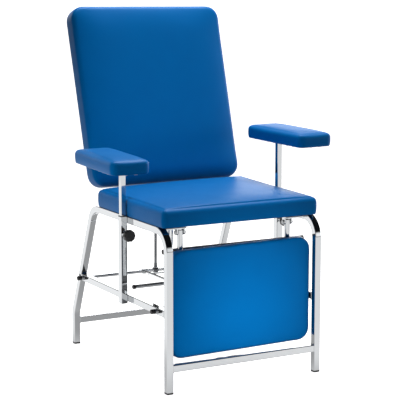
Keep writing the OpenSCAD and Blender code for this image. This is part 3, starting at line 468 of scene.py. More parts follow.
def makeStudio():
    look = studio["floor"]
    material, tree, inputs, place = newMaterial("paleFloorPaint", look, 0.0, {
        "Emission Color": toLinear(studio["white"]), "Emission Strength": studio["floorGlow"]})
    grain = addNode(tree, "ShaderNodeTexNoise", {"Scale": 3.0}, {"Vector": place})
    addNode(tree, "ShaderNodeMapRange", {"To Min": look["smooth"], "To Max": look["rough"]},
            {"Value": grain.outputs["Fac"]}, {"Result": inputs["Roughness"]})
    floor = stageDisc("paleFloor", material, 0.0)
    floor.visible_glossy = False
    floor.visible_diffuse = False

    material, tree, inputs, place = newMaterial("mirroredFloorPaint", studio["mirrorFloor"], 0.0, {
        "Emission Color": toLinear(studio["white"])})
    split = addNode(tree, "ShaderNodeSeparateXYZ", links={"Vector": place})
    glow = addNode(tree, "ShaderNodeMapRange",
                   {"From Min": -1.0, "From Max": 1.0, "To Min": studio["glowFront"], "To Max": studio["glowBack"]},
                   {"Value": split.outputs["Y"]})
    # painted shadow: the mirrored floor glows less under the chair, standing in for the chair's shade
    shrink = addNode(tree, "ShaderNodeMapping",
                     {"Scale": (1 / studio["underWide"], 1 / studio["underDeep"], 1.0)}, {"Vector": place})
    reach = addNode(tree, "ShaderNodeVectorMath", {"operation": "LENGTH"}, {0: shrink.outputs["Vector"]})
    paintedChairShadow = addNode(tree, "ShaderNodeMapRange",
                    {"interpolation_type": "SMOOTHSTEP", "From Min": studio["underEdge"][0],
                     "From Max": studio["underEdge"][1], "To Min": studio["glowUnder"], "To Max": 1.0},
                    {"Value": reach.outputs["Value"]})
    near = addNode(tree, "ShaderNodeMath", {"operation": "MULTIPLY"},
                   {0: glow.outputs["Result"], 1: paintedChairShadow.outputs["Result"]})
    shift = addNode(tree, "ShaderNodeMapping", {"Location": studio["farFrom"]}, {"Vector": place})
    away = addNode(tree, "ShaderNodeVectorMath", {"operation": "LENGTH"}, {0: shift.outputs["Vector"]})
    fade = addNode(tree, "ShaderNodeMapRange",
                   {"interpolation_type": "SMOOTHSTEP", "From Min": studio["far"][0], "From Max": studio["far"][1],
                    "To Min": 1.0, "To Max": studio["glowFar"]}, {"Value": away.outputs["Value"]})
    addNode(tree, "ShaderNodeMath", {"operation": "MULTIPLY"}, {0: near.outputs[0], 1: fade.outputs["Result"]},
            {0: inputs["Emission Strength"]})
    mirror = stageDisc("mirroredFloor", material, -studio["mirrorDrop"])
    mirror.visible_camera = False
    mirror.visible_diffuse = False

    world = bpy.data.worlds.new("studioWorld")
    bpy.context.scene.world = world
    world.use_nodes = True
    tree = world.node_tree
    tree.nodes.clear()
    coord = addNode(tree, "ShaderNodeTexCoord")
    split = addNode(tree, "ShaderNodeSeparateXYZ", links={"Vector": coord.outputs["Generated"]})
    ramp = addNode(tree, "ShaderNodeValToRGB", links={"Fac": split.outputs["Z"]})
    stops = ramp.color_ramp.elements
    for place in (studio["horizonLow"], studio["horizonTop"]):
        stops.new(place).color = toLinear(studio["white"])
    stops[0].color = toLinear(studio["below"])
    stops[-1].position = studio["ceilingStart"]
    stops[-1].color = toLinear(studio["ceiling"])
    facing = addNode(tree, "ShaderNodeVectorMath", {"operation": "DOT_PRODUCT", 1: studio["horizonAim"]},
                     {0: coord.outputs["Generated"]})
    level = addNode(tree, "ShaderNodeMapRange",
                    {"From Min": studio["horizonTurn"][0], "From Max": studio["horizonTurn"][1],
                     "To Min": studio["horizonFront"], "To Max": studio["horizonBack"]},
                    {"Value": facing.outputs["Value"]})
    shine = addNode(tree, "ShaderNodeBackground",
                    links={"Color": ramp.outputs["Color"], "Strength": level.outputs["Result"]})
    addNode(tree, "ShaderNodeOutputWorld", links={"Surface": shine.outputs["Background"]})

    for lamp in studio["lamps"]:
        softBox(*lamp)
    bpy.context.scene.view_settings.view_transform = "Standard"


makeStudio()
print("camera and studio made")

# bent side frames: one rounded square tube each
sideFrame = {"bendSteps": 18}


def rearLegY(z):
    # how deep the leaning part of the rear leg's axis lies at a height
    lean = math.radians(chair["rearLean"])
    kneeZ = chair["rearBend"] + chair["bendRadius"] * math.tan(lean / 2)
    return chair["depth"] - chair["tube"] / 2 - (z - kneeZ) * math.tan(lean)


def sideFramePath():
    tube, radius = chair["tube"], chair["bendRadius"]
    lean = math.radians(chair["rearLean"])
    bendZ = chair["railTop"] - tube / 2 - radius
    rearAxis = chair["depth"] - tube / 2
    topY = rearLegY(chair["railTop"] - tube / 2)
    topY -= radius * math.tan((math.pi / 2 - lean) / 2)
    path = [(tube / 2, chair["footHeight"], 90.0)]
    steps = sideFrame["bendSteps"]
    for centre, start, end in (((tube / 2 + radius, bendZ), 180.0, 90.0),
                               ((topY, bendZ), 90.0, chair["rearLean"]),
                               ((rearAxis - radius, chair["rearBend"]), chair["rearLean"], 0.0)):
        for k in range(steps + 1):
            a = math.radians(start + (end - start) * k / steps)
            path.append((centre[0] + radius * math.cos(a), centre[1] + radius * math.sin(a), math.degrees(a) - 90))
    path.append((rearAxis, chair["footHeight"], -90.0))
    return path


def makeSideFrames():
    for sign, name in ((-1, "left"), (1, "right")):
        path = []
        for y, z, heading in sideFramePath():
            a = math.radians(heading)
            path.append((mm(sign * (chair["frameHalf"] - chair["tube"] / 2), y, z),
                         Vector((0, math.cos(a), math.sin(a)))))
        makePiece("sideFrame_" + name, [sweep(path, across, squareLoop(chair["tube"], chair["tubeCorner"]))],
                  chrome, "frame", ["side_frame_" + name])


def straightTube(name, start, end, side, width, corner, body, nodes, wall=0.0):
    path = [(start, end - start), (end, end - start)]
    loop = squareLoop(width, corner)
    if wall:
        shape = hollowSweep(path, side, loop, squareLoop(width - 2 * wall, corner - wall))
    else:
        shape = sweep(path, side, loop)
    makePiece(name, [shape], chrome, body, nodes)


rails = {"sunk": 2.0}


def crossRails():
    yield "front", chair["tube"] / 2, chair["frontRailZ"]
    yield "rear", chair["depth"] - chair["tube"] / 2, chair["rearRailZ"]


def makeRails():
    tube, sunk = chair["tube"], rails["sunk"]
    reach = chair["frameHalf"] - tube + sunk
    axisX = chair["frameHalf"] - tube / 2
    railZ = chair["sideRail"] + tube / 2
    for sign, name in ((-1, "left"), (1, "right")):
        straightTube("sideRail_" + name, mm(sign * axisX, tube - sunk, railZ),
                     mm(sign * axisX, rearLegY(railZ), railZ), across, tube, chair["tubeCorner"],
                     "frame", ["side_rail_" + name])
    for name, y, z in crossRails():
        straightTube(name + "CrossRail", mm(-reach, y, z), mm(reach, y, z), lengthwise, tube,
                     chair["tubeCorner"], "frame", [name + "_cross_rail"])


# a thin weld bead round each place where one tube butts against another
weldBead = {"radius": 1.3, "steps": 8, "out": 0.4}


def beadLoop(centre, axis, side, width):
    up = axis.cross(side)
    radius, steps = weldBead["radius"], weldBead["steps"]
    loop = squareLoop(width + weldBead["out"], chair["tubeCorner"], 3)
    verts = []
    for a, b in loop:
        out = Vector((a, b)).normalized()
        for s in range(steps):
            t = 2 * math.pi * s / steps
            reach = radius * math.cos(t)
            verts.append(centre + side * ((a + out.x * reach) / 1000) + up * ((b + out.y * reach) / 1000)
                         + axis * (radius * math.sin(t) / 1000))
    return verts, ringFaces(len(loop), steps, True)


def makeWelds():
    tube, out = chair["tube"], weldBead["out"]
    axisX = chair["frameHalf"] - tube / 2
    railZ = chair["sideRail"] + tube / 2
    shapes = []
    for sign in (-1, 1):
        shapes.append(beadLoop(mm(sign * axisX, tube + out, railZ), lengthwise, across, tube))
        for name, y, z in crossRails():
            shapes.append(beadLoop(mm(sign * (chair["frameHalf"] - tube - out), y, z), across, lengthwise, tube))
    makePiece("weldBeads", shapes, chrome, "frame")


makeSideFrames()
makeRails()
makeWelds()
print("frame tubes made")

# push-in feet: a lip as wide as the tube with a rounded tread
foot = {"round": 1.6, "corner": 3.0, "lip": ((0.3, 4.6), (0.3, 5.7), (-0.6, 6.1))}


def stackSquares(centre, rows, corner):
    # rounded squares of (width, height) one above the other
    verts = []
    for width, height in rows:
        loop = squareLoop(width, corner)
        verts += [centre + Vector((a, b, height)) / 1000 for a, b in loop]
    return verts, len(loop)


def makeFeet():
    tube, bend = chair["tube"], foot["round"]
    rows = []
    for k in range(5):
        a = math.radians(90 * k / 4)
        rows.append((tube - 2 * bend * (1 - math.sin(a)), bend * (1 - math.cos(a))))
    rows += [(tube + wider, height) for wider, height in foot["lip"]]
    shapes = []
    for sign in (-1, 1):
        for y in (tube / 2, chair["depth"] - tube / 2):
            verts, count = stackSquares(mm(sign * (chair["frameHalf"] - tube / 2), y, 0), rows, foot["corner"])
            shapes.append((verts, ringFaces(len(rows), count) + endFaces(len(rows), count)))
    makePiece("plugFeet", shapes, nylon, "frame", ["plug_feet"])


makeFeet()

# armrest sleeves, their bushes and clamp bosses
sleeve = {
    "x": 285.0,
    "y": 280.0,
    "low": 230.0,
    "wall": 1.2,
    "corner": 2.0,
    "knobZ": 453.0,
    # the bush's rim from outside to inside as (width, height above the sleeve)
    "bush": ((21.9, 0.0), (21.9, 1.8), (20.8, 2.5), (17.9, 2.5), (17.7, 0.0)),
    "bushCorner": 1.6,
    # the round boss is welded on with a fillet at its root and has a chamfered rim
    "boss": ((9.6, 0.0), (8.6, 0.9), (8.0, 1.9), (8.0, 11.4), (7.2, 12.4), (4.1, 12.4)),
    "bossSunk": 0.5,
}


def makeSleeves():
    for sign, name in ((-1, "left"), (1, "right")):
        straightTube("postSleeve_" + name, mm(sign * sleeve["x"], sleeve["y"], sleeve["low"]),
                     mm(sign * sleeve["x"], sleeve["y"], chair["railTop"]), across,
                     chair["tube"], sleeve["corner"], "frame", ["post_sleeve_" + name], sleeve["wall"])
    shapes = []
    for sign in (-1, 1):
        verts, count = stackSquares(mm(sign * sleeve["x"], sleeve["y"], chair["railTop"]), sleeve["bush"],
                                    sleeve["bushCorner"])
        shapes.append((verts, ringFaces(len(sleeve["bush"]), count)))
    makePiece("sleeveBushes", shapes, nylon, "frame", ["sleeve_bushes"])
    shapes = []
    for sign in (-1, 1):
        start = mm(sign * sleeve["x"], sleeve["y"] - chair["tube"] / 2 + sleeve["bossSunk"], sleeve["knobZ"])
        shapes.append(lathe(sleeve["boss"], start, -lengthwise))
    makePiece("clampBosses", shapes, chrome, "frame", ["clamp_bosses"])


makeSleeves()

# tie rods, their washers and black end caps
tieRod = {
    "front": 71.0,
    "rear": 617.0,
    "z": 246.0,
    "diameter": 12.0,
    "half": 285.0,
    "washer": ((8.6, 0.0), (9.2, 0.3), (9.2, 1.3), (8.6, 1.6), (7.0, 1.7), (7.0, 4.2), (6.2, 4.6)),
    "cap": ((6.9, 0.0), (7.4, 0.5), (7.4, 3.0), (7.0, 3.6), (7.0, 4.4), (7.4, 5.0)),
    "capLength": 15.0,
    "capRound": 3.2,
    "capSteps": 6,
}


def rodEnds():
    for sign in (-1, 1):
        for y in (tieRod["front"], tieRod["rear"]):
            yield mm(sign * chair["frameHalf"], y, tieRod["z"]), sign * across


def makeTieRods():
    for name in ("front", "rear"):
        path = [(mm(sign * tieRod["half"], tieRod[name], tieRod["z"]), across) for sign in (-1, 1)]
        makePiece(name + "TieRod", [sweep(path, lengthwise, roundLoop(tieRod["diameter"] / 2))], chrome, "frame",
                  [name + "_tie_rod"])
    washers, caps = [], []
    radius, bend = tieRod["cap"][-1][0], tieRod["capRound"]
    end = roundedEnd(radius, tieRod["capLength"], bend, tieRod["capSteps"])[1:]
    for centre, axis in rodEnds():
        washers.append(lathe(tieRod["washer"], centre, axis))
        start = centre + axis * (tieRod["washer"][-1][1] / 1000)
        caps.append(lathe(list(tieRod["cap"]) + end, start, axis))
    makePiece("tieRodWashers", washers, zinc, "frame", ["tie_rod_washers"], "turned")
    makePiece("tieRodCaps", caps, nylon, "frame", ["tie_rod_caps"], "turned")


makeTieRods()
print("feet, sleeves and rods made")

# pieces that keep the CAD shape are copies with soft edges and their finish
dressCut = {"angle": 35.0, "flat": 0.5, "weldMm": 0.01, "segments": 2}


def dressCopy(node, body, material, bevel):
    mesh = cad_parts[node].data.copy()
    piece = bpy.data.objects.new("dressed_" + node, mesh)
    bpy.context.collection.objects.link(piece)
    work = bmesh.new()
    work.from_mesh(mesh)
    bmesh.ops.remove_doubles(work, verts=work.verts, dist=dressCut["weldMm"] / 1000)
    bmesh.ops.dissolve_limit(work, angle_limit=math.radians(dressCut["flat"]), verts=work.verts, edges=work.edges)
    work.to_mesh(mesh)
    work.free()
    mesh.shade_smooth()
    mesh.materials.clear()
    mesh.materials.append(material)
    finishPiece(piece, body, [node])
    sharpenEdges(piece, dressCut["angle"])
    edge = piece.modifiers.new("softEdge", "BEVEL")
    edge.width = bevel / 1000
    edge.segments = dressCut["segments"]
    edge.limit_method = "ANGLE"
    edge.angle_limit = math.radians(dressCut["angle"])


# finish, body, nodes and the edges' width in mm
dressing = (
    (chrome, "frame", ("legrest_bracket_left", "legrest_bracket_right"), 0.8),
    (zinc, "frame", ("recline_pins",), 0.5),
    (chrome, "backrest", ("recline_tube", "back_cross_bar"), 0.8),
    (zinc, "backrest", ("strut_anchor_pin", "link_pin"), 0.5),
    (zinc, "legrest", ("legrest_link_pin",), 0.5),
    (nylon, "backrest", ("upright_plugs",), 0.6),
    (nylon, "legrest", ("legrest_arm_plugs", "cross_tube_plugs"), 0.8),
    (chrome, "legrest", ("legrest_arm_left", "legrest_arm_right", "legrest_cross_tube"), 0.5),
    (zinc, "link", ("link_bar",), 0.6),
    (nitride, "strut_foot", ("strut_rod",), 0.3),
    (enamel, "strut_tube", ("strut_cylinder",), 0.5),
    (chrome, "release_lever", ("release_fork",), 0.4),
    (nylon, "armrest_left", ("post_glides_left",), 0.5),
    (nylon, "armrest_right", ("post_glides_right",), 0.5),
    (zinc, "clamp_left", ("clamp_stud_left",), 0.4),
    (zinc, "clamp_right", ("clamp_stud_right",), 0.4),
)

for material, body, nodes, bevel in dressing:
    for node in nodes:
        dressCopy(node, body, material, bevel)
print("CAD pieces dressed")

# hexagon bolts of the legrest pivots
pivotBolt = {"x": 191.5, "y": 74.0, "z": 482.0, "reach": 13.8, "shank": 8.0, "head": 4.0, "corner": 7.5,
             "flange": 0.7, "flangeOut": 0.6, "chamfer": 0.6, "face": 3.0}


def makePivotBolts():
    r, h, reach = pivotBolt["corner"], pivotBolt["head"], pivotBolt["reach"]
    flange, wide, cut = pivotBolt["flange"], r + pivotBolt["flangeOut"], pivotBolt["chamfer"]
    ring = [(wide, 0.0), (wide, flange), (r, flange)]
    head = [(r, flange), (r, h - cut), (r - 1.5 * cut, h), (pivotBolt["face"], h)]
    shank = [(pivotBolt["shank"] / 2, -reach), (pivotBolt["shank"] / 2, reach)]
    shapes = []
    for sign in (-1, 1):
        centre = mm(sign * pivotBolt["x"], pivotBolt["y"], pivotBolt["z"])
        for side in (-1, 1):
            axis = side * across
            start = centre + axis * (reach / 1000)
            shapes += [lathe(ring, start, axis, 32), lathe(head, start, axis, 6)]
        shapes.append(lathe(shank, centre, across, 24))
    makePiece("pivotBolts", shapes, zinc, "frame", ["legrest_pivot_bolts"], "hexagons")


makePivotBolts()

# release bar with its black end caps
releaseBar = {"y": 408.0, "z": 246.0, "diameter": 13.0, "length": 376.0, "chamfer": 0.8,
              "cap": 14.6, "capLength": 9.0, "capOver": 1.5, "capRound": 2.2}


def makeReleaseBar():
    centre = mm(0, releaseBar["y"], releaseBar["z"])
    half, r, cut = releaseBar["length"] / 2, releaseBar["diameter"] / 2, releaseBar["chamfer"]
    bar = lathe([(r - cut, -half), (r, -half + cut), (r, half - cut), (r - cut, half)], centre, across)
    makePiece("releaseBar", [bar], chrome, "release_lever", ["release_bar"])
    cap = roundedEnd(releaseBar["cap"] / 2, releaseBar["capLength"], releaseBar["capRound"])
    shapes = []
    for sign in (-1, 1):
        axis = sign * across
        start = centre + axis * ((half + releaseBar["capOver"] - releaseBar["capLength"]) / 1000)
        shapes.append(lathe(cap, start, axis))
    makePiece("releaseBarCaps", shapes, nylon, "release_lever", ["release_bar_caps"], "turned")


makeReleaseBar()

# clamp knobs: a lobed grip with a rounded rim, a shallow dish in its face and a round hub
knob = {
    "diameter": 38.5,
    "backY": 251.0,
    "lobes": 10,
    "depth": 0.08,
    "sharp": 1.4,
    "steps": 96,
    "hubLength": 9.0,
    "hub": ((8.7, 0.0), (9.5, 0.8), (9.5, 7.6), (10.9, 9.2)),
    # share of the radius, height in mm and share of the lobes' depth, from the back over the rim into the dish
    "grip": ((0.62, 0.0, 0.0), (0.9, 0.2, 0.6), (0.97, 1.2, 0.9), (1.0, 3.0, 1.0), (1.0, 12.0, 1.0),
             (0.98, 15.0, 1.0), (0.9, 17.2, 0.9), (0.78, 18.0, 0.6), (0.56, 18.0, 0.1), (0.5, 17.2, 0.0),
             (0.2, 16.9, 0.0)),
}


def makeKnobs():
    rows, steps = knob["grip"], knob["steps"]
    for sign, name in ((-1, "left"), (1, "right")):
        base = mm(sign * sleeve["x"], knob["backY"], sleeve["knobZ"])
        out = -lengthwise
        verts = []
        for share, height, lobed in rows:
            for k in range(steps):
                a = 2 * math.pi * k / steps
                dip = knob["depth"] * lobed * (0.5 - 0.5 * math.cos(knob["lobes"] * a)) ** knob["sharp"]
                r = knob["diameter"] / 2 * share * (1 - dip)
                verts.append(base + out * ((knob["hubLength"] + height) / 1000)
                             + Vector((math.cos(a), 0, math.sin(a))) * (r / 1000))
        grip = (verts, ringFaces(len(rows), steps) + endFaces(len(rows), steps))
        makePiece("clampKnob_" + name, [grip, lathe(knob["hub"], base, out)], nylon, "clamp_" + name,
                  ["clamp_knob_" + name], "turned")


makeKnobs()
print("bolts, release bar and knobs made")

# backrest uprights and armrest posts
upright = {"x": 150.0, "width": 20.0, "corner": 2.0, "lean": 15.9, "frontY": 502.0, "frontZ": 569.0,
           "thick": 75.0, "low": -28.0, "high": 455.0}


def leanPoint(x, along, out):
    a = math.radians(upright["lean"])
    return mm(x, upright["frontY"] + along * math.sin(a) + out * math.cos(a),
              upright["frontZ"] + along * math.cos(a) - out * math.sin(a))


def makeUprights():
    for sign, name in ((-1, "left"), (1, "right")):
        straightTube("backUpright_" + name, leanPoint(sign * upright["x"], upright["low"], upright["thick"]),
                     leanPoint(sign * upright["x"], upright["high"], upright["thick"]), across,
                     upright["width"], upright["corner"], "backrest", ["back_upright_" + name])


armPost = {"width": 17.0, "corner": 1.8, "length": 342.0, "leftZ": 662.0, "rightZ": 707.0,
           "plate": 3.0, "plateWidth": 56.0, "plateLength": 170.0, "plateCorner": 8.0,
           "screw": ((4.4, 0.0), (4.2, 0.9), (3.0, 1.9), (1.6, 2.1)),
           "screwAt": ((-14, -66), (14, -66), (-14, 66), (14, 66))}


def makeArmPosts():
    for sign, name, z in ((-1, "left", armPost["leftZ"]), (1, "right", armPost["rightZ"])):
        top = z - armPost["plate"]
        x = sign * sleeve["x"]
        post = sweep([(mm(x, sleeve["y"], top - armPost["length"]), upward), (mm(x, sleeve["y"], top), upward)],
                     across, squareLoop(armPost["width"], armPost["corner"]))
        # plate with rounded corners under the pad
        cx = x + sign * (armPost["plateWidth"] - armPost["width"]) / 2
        outline = roundedOutline(armPost["plateWidth"], armPost["plateLength"], armPost["plateCorner"], 6)
        plate = sweep([(mm(cx, sleeve["y"], top), upward), (mm(cx, sleeve["y"], z), upward)], across, outline)
        makePiece("armPost_" + name, [post, plate], chrome, "armrest_" + name, ["armrest_post_" + name])
        screws = [lathe(armPost["screw"], mm(cx + dx, sleeve["y"] + dy, top), -upward, 20)
                  for dx, dy in armPost["screwAt"]]
        makePiece("armScrews_" + name, screws, zinc, "armrest_" + name)


makeUprights()
makeArmPosts()
print("uprights and posts made")

# upholstered pads: foam on a board, wrapped in vinyl that is folded over and stapled behind
pads = {
    "seat": {"size": (552, 476, 57), "corner": 15, "edge": 17, "crown": 10, "cells": (56, 48), "cap": (1.0, 1.6)},
    "back": {"size": (548, 599, 65), "corner": 44, "edge": 15, "crown": 7, "cells": (56, 60), "cap": (1.0, 5.0)},
    "leg": {"size": (498, 334, 40), "corner": 40, "edge": 9, "crown": 4, "cells": (50, 34), "cap": (0.8, 3.0)},
    "arm": {"size": (130, 322, 43), "corner": 22, "edge": 13, "crown": 4, "cells": (20, 44), "cap": (0.8, 2.5)},
    "draw": 4.0,
    # the edge's lower part as (share of the draw, share of the thickness), and the angles round its upper part
    "wall": ((1.0, 0.0), (0.45, 0.07), (0.2, 0.2), (0.0, 0.38)),
    "round": (0, 16, 32, 48, 64, 80),
    "fill": 0.85,
    "slack": 0.8,
    "arcCells": 3,
    "cornerLeast": 0.35,
    "crownPower": 4,
    "legTop": 436.0,
    "legHang": 0.013,
    "backStretch": (6.0, 7.5),
    "backFold": (56.0, 20.0),
    "backFoldFrom": 0.3,
    "armInner": 257.5,
    "armTurn": 2.5,
    "armRise": 0.011,
    "seatRear": 9.0,
}
cloth = {"pressure": 4.0, "frames": 20, "calm": 26, "mass": 0.4, "stretch": 30, "shear": 15, "bend": 4.0,
         "heldTo": 6.0, "freeFrom": 14.0}
board = {"inset": 27.0, "armInset": 16.0, "proud": 0.8, "chamfer": (0.6, 0.5), "thick": 6.0, "cornerLeast": 6.0,
         "cornerSteps": 6}
staple = {"out": 8.0, "spacing": 38.0, "width": 11.0, "clear": 20.0, "legs": (-1, -0.86, 0.86, 1), "drop": -0.75,
          "wire": ((0.55, 0.25), (-0.55, 0.25), (-0.55, -0.3), (0.55, -0.3))}


def rimSides(w, l, r, nx, ny, arc):
    # four sides of a rounded outline, from corner middle to corner middle
    sides = []
    for q, (n, length) in enumerate(((nx, w), (ny, l), (nx, w), (ny, l))):
        turn = math.radians(90 * q)
        depth = l if q % 2 == 0 else w
        points = []
        for k in range(n + 1):
            if k <= arc:
                a = math.radians(225 + 45 * k / arc)
                x, y = -(length / 2 - r) + r * math.cos(a), -(depth / 2 - r) + r * math.sin(a)
            elif k >= n - arc:
                a = math.radians(270 + 45 * (k - n + arc) / arc)
                x, y = (length / 2 - r) + r * math.cos(a), -(depth / 2 - r) + r * math.sin(a)
            else:
                x = -(length / 2 - r) + (length - 2 * r) * (k - arc) / (n - 2 * arc)
                y = -depth / 2
            points.append((x * math.cos(turn) - y * math.sin(turn), x * math.sin(turn) + y * math.cos(turn)))
        sides.append(points)
    return sides


def padShape(w, l, t, plan):
    # rings from the back round the edge to the face, with a grid over the face and the back
    nx, ny = plan["cells"]
    arc, edge = pads["arcCells"], plan["edge"]
    section = [(pads["draw"] * inward, t * up) for inward, up in pads["wall"]]
    low = section[-1][1]
    section += [(0.0, low + (t - edge - low) * k / 3) for k in (1, 2)]
    section += [(edge * (1 - math.cos(math.radians(a))), t - edge + edge * math.sin(math.radians(a)))
                for a in pads["round"]]
    verts, rims = [], []
    for inset, height in section:
        r = max(plan["corner"] - inset, plan["corner"] * pads["cornerLeast"])
        sides = rimSides(w - 2 * inset, l - 2 * inset, r, nx, ny, arc)
        rim = []
        for side in sides:
            for x, y in side[:-1]:
                rim.append(len(verts))
                verts.append((x, y, height))
        rims.append((rim, sides))
    count = len(rims[0][0])
    faces = ringFaces(len(rims), count)
    for (rim, sides), height, crown, flip in ((rims[0], 0.0, 0.0, True), (rims[-1], t, plan["crown"], False)):
        south, east, north, west = sides
        grid = {}
        for i in range(nx + 1):
            grid[i, 0] = rim[i]
            grid[i, ny] = rim[(2 * nx + ny - i) % count]
        for j in range(ny + 1):
            grid[nx, j] = rim[nx + j]
            grid[0, j] = rim[(2 * nx + 2 * ny - j) % count]
        for i in range(1, nx):
            for j in range(1, ny):
                u, v = i / nx, j / ny
                point = []
                for c in (0, 1):
                    edges = ((1 - v) * south[i][c] + v * north[nx - i][c]
                             + (1 - u) * west[ny - j][c] + u * east[j][c])
                    corners = ((1 - u) * (1 - v) * south[0][c] + u * (1 - v) * south[nx][c]
                               + u * v * north[0][c] + (1 - u) * v * north[nx][c])
                    point.append(edges - corners)
                rise = (1 - abs(2 * u - 1) ** pads["crownPower"]) * (1 - abs(2 * v - 1) ** pads["crownPower"])
                grid[i, j] = len(verts)
                verts.append((point[0], point[1], height + crown * rise))
        for i in range(nx):
            for j in range(ny):
                cell = (grid[i, j], grid[i + 1, j], grid[i + 1, j + 1], grid[i, j + 1])
                faces.append(tuple(reversed(cell)) if flip else cell)
    return verts, faces


def padPlace(kind, side):
    # from a pad lying on its back at zero to its place on the chair
    size = pads[kind]["size"]
    if kind == "seat":
        return Matrix.Translation(mm(0, chair["padFront"] + size[1] / 2, chair["railTop"]))
    if kind == "back":
        turn = Matrix.Rotation(math.radians(90 - upright["lean"]), 4, "X")
        return Matrix.Translation(leanPoint(0, size[1] / 2, size[2])) @ turn
    if kind == "leg":
        # the legrest hangs a little lower on its left
        hang = Matrix.Identity(4)
        hang[2][0] = pads["legHang"]
        place = Matrix.Translation(mm(0, chair["padFront"] + size[2], pads["legTop"] - size[1] / 2))
        return place @ hang @ Matrix.Rotation(math.radians(90), 4, "X")
    # the arm pads stand a little open towards the front and rise towards the back
    z = armPost["leftZ"] if side < 0 else armPost["rightZ"]
    turn = Matrix.Rotation(math.radians(side * pads["armTurn"]), 4, "Z")
    turn[2][1] = pads["armRise"]
    return Matrix.Translation(mm(side * (pads["armInner"] + size[0] / 2), sleeve["y"], z)) @ turn


def makePad(name, kind, side, body, node):
    plan = pads[kind]
    w, l, t = plan["size"]
    slack = pads["slack"]
    verts, faces = padShape(w - slack, l - slack, t - slack, plan)
    mesh = bpy.data.meshes.new(name)
    mesh.from_pydata([(x / 1000, y / 1000, z / 1000) for x, y, z in verts], [], faces)
    pad = bpy.data.objects.new(name, mesh)
    bpy.context.collection.objects.link(pad)
    swellCloth(pad, plan)
    smooth = pad.modifiers.new("cloth", "SUBSURF")
    smooth.levels = 1
    smooth.render_levels = 1
    applyAll(pad)
    for v in pad.data.vertices:
        left, far = 0.5 - v.co.x * 1000 / w, 0.5 + v.co.y * 1000 / l
        if kind == "back":
            # the cover sits a little wider and higher at its upper left
            v.co.x -= pads["backStretch"][0] / 1000 * left * far
            v.co.y += pads["backStretch"][1] / 1000 * left * far
            # and rolls back further along its lower edge
            reach, depth = pads["backFold"]
            fold = max(0.0, 1 - far * l / reach) ** 2 * max(0.0, v.co.z * 1000 / t - pads["backFoldFrom"])
            v.co.z -= depth / 1000 * fold
        if kind == "seat":
            # the foam stands up a little under the backrest
            rise = max(0.0, far) ** 3 * max(0.0, 1 - left) ** 0.5
            v.co.z += pads["seatRear"] / 1000 * rise * min(1.0, v.co.z * 1000 / t)
    pad.data.transform(padPlace(kind, side))
    pad.data.materials.clear()
    pad.data.materials.append(vinyl)
    pad.data.shade_smooth()
    finishPiece(pad, body, [node])


def applyAll(piece):
    bpy.context.view_layer.update()
    graph = bpy.context.evaluated_depsgraph_get()
    made = bpy.data.meshes.new_from_object(piece.evaluated_get(graph))
    piece.modifiers.clear()
    old = piece.data
    piece.data = made
    made.name = piece.name
    bpy.data.meshes.remove(old)


def swellCloth(pad, plan):
    # cloth over foam: held at the board, swollen by a little pressure, then capped
    scene = bpy.context.scene
    held = pad.vertex_groups.new(name="board")
    for v in pad.data.vertices:
        weight = min(1.0, max(0.0, (cloth["freeFrom"] - v.co.z * 1000) / (cloth["freeFrom"] - cloth["heldTo"])))
        if weight > 0:
            held.add([v.index], weight, "REPLACE")
    rest = [v.co.copy() for v in pad.data.vertices]
    cover = pad.modifiers.new("pullOver", "CLOTH")
    settings = cover.settings
    settings.quality = 5
    settings.mass = cloth["mass"]
    settings.tension_stiffness = cloth["stretch"]
    settings.compression_stiffness = cloth["stretch"]
    settings.shear_stiffness = cloth["shear"]
    settings.bending_stiffness = cloth["bend"]
    settings.use_pressure = True
    settings.uniform_pressure_force = cloth["pressure"]
    settings.vertex_group_mass = "board"
    settings.effector_weights.gravity = 0.0
    cover.point_cache.frame_start = 1
    cover.point_cache.frame_end = cloth["frames"]
    for step in range(1, cloth["frames"] + 1):
        scene.frame_set(step)
    applyAll(pad)
    scene.frame_set(1)
    aside, rise = plan["cap"][0] / 1000, plan["cap"][1] / 1000
    shifts = []
    for v, start in zip(pad.data.vertices, rest):
        shift = v.co - start
        flat = math.hypot(shift.x, shift.y)
        if flat > aside:
            shift.x *= aside / flat
            shift.y *= aside / flat
        shift.z = max(-rise, min(rise, shift.z))
        shifts.append(shift)
    beside = [[] for v in rest]
    for edge in pad.data.edges:
        a, b = edge.vertices
        beside[a].append(b)
        beside[b].append(a)
    # the foam evens the folds out
    for turn in range(cloth["calm"]):
        shifts = [(shift + sum((shifts[n] for n in near), Vector())) / (1 + len(near))
                  for shift, near in zip(shifts, beside)]
    for v, start, shift in zip(pad.data.vertices, rest, shifts):
        v.co = start + shift


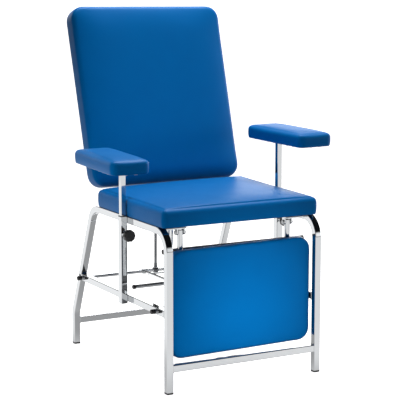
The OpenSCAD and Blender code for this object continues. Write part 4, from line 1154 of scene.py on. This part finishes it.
def makeBoard(name, kind, side, body, node, material):
    # the board shows inside the folded vinyl
    w, l = pads[kind]["size"][:2]
    inset = board["armInset"] if kind == "arm" else board["inset"]
    place = padPlace(kind, side)
    thin, low = board["chamfer"]
    levels = ((thin, -board["proud"]), (0.0, low - board["proud"]), (0.0, board["thick"]))
    verts = []
    for shrink, height in levels:
        cut = inset + shrink
        outline = roundedOutline(w - 2 * cut, l - 2 * cut, max(pads[kind]["corner"] - cut, board["cornerLeast"]),
                                 board["cornerSteps"])
        verts += [place @ Vector((x / 1000, y / 1000, height / 1000)) for x, y in outline]
    faces = ringFaces(len(levels), len(outline)) + endFaces(len(levels), len(outline))
    makePiece(name + "Board", [(verts, faces)], material, body, [node])
    makeStaples(name, kind, place, inset - staple["out"], body)


def makeStaples(name, kind, place, edge, body):
    # a row along each side of the board, every staple a bent wire with its legs in the vinyl
    w, l = pads[kind]["size"][:2]
    half, legs, wire = staple["width"] / 2, staple["legs"], staple["wire"]
    count = len(wire)
    faces = ringFaces(len(legs), count)
    faces += [tuple(range(count)), tuple(range((len(legs) - 1) * count, len(legs) * count))]
    shapes = []
    for run, depth, line, cross in ((w, l, across, lengthwise), (l, w, lengthwise, across)):
        run -= 2 * pads[kind]["corner"] + staple["clear"]
        number = max(2, round(run / staple["spacing"]))
        for k in range(number):
            for sign in (-1, 1):
                centre = line * (-run / 2 + run * (k + 0.5) / number) + cross * (sign * (depth / 2 - edge))
                bar = []
                for s in legs:
                    drop = 0.0 if abs(s) == 1 else staple["drop"]
                    bar += [place @ ((centre + line * (s * half) + cross * a + Vector((0, 0, b + drop))) / 1000)
                            for a, b in wire]
                shapes.append((bar, faces))
    makePiece(name + "Staples", shapes, zinc, body)


for name, kind, side, body, cushion, backing, ply in (
        ("seat", "seat", 0, "frame", "seat_cushion", "seat_board", plyFlat),
        ("back", "back", 0, "backrest", "back_cushion", "back_board", plyTall),
        ("leg", "leg", 0, "legrest", "legrest_cushion", "legrest_board", plyTall),
        ("armLeft", "arm", -1, "armrest_left", "armrest_cushion_left", "armrest_board_left", plyFlat),
        ("armRight", "arm", 1, "armrest_right", "armrest_cushion_right", "armrest_board_right", plyFlat)):
    makePad(name + "Pad", kind, side, body, cushion)
    makeBoard(name, kind, side, body, backing, ply)
    print(name, "pad made")
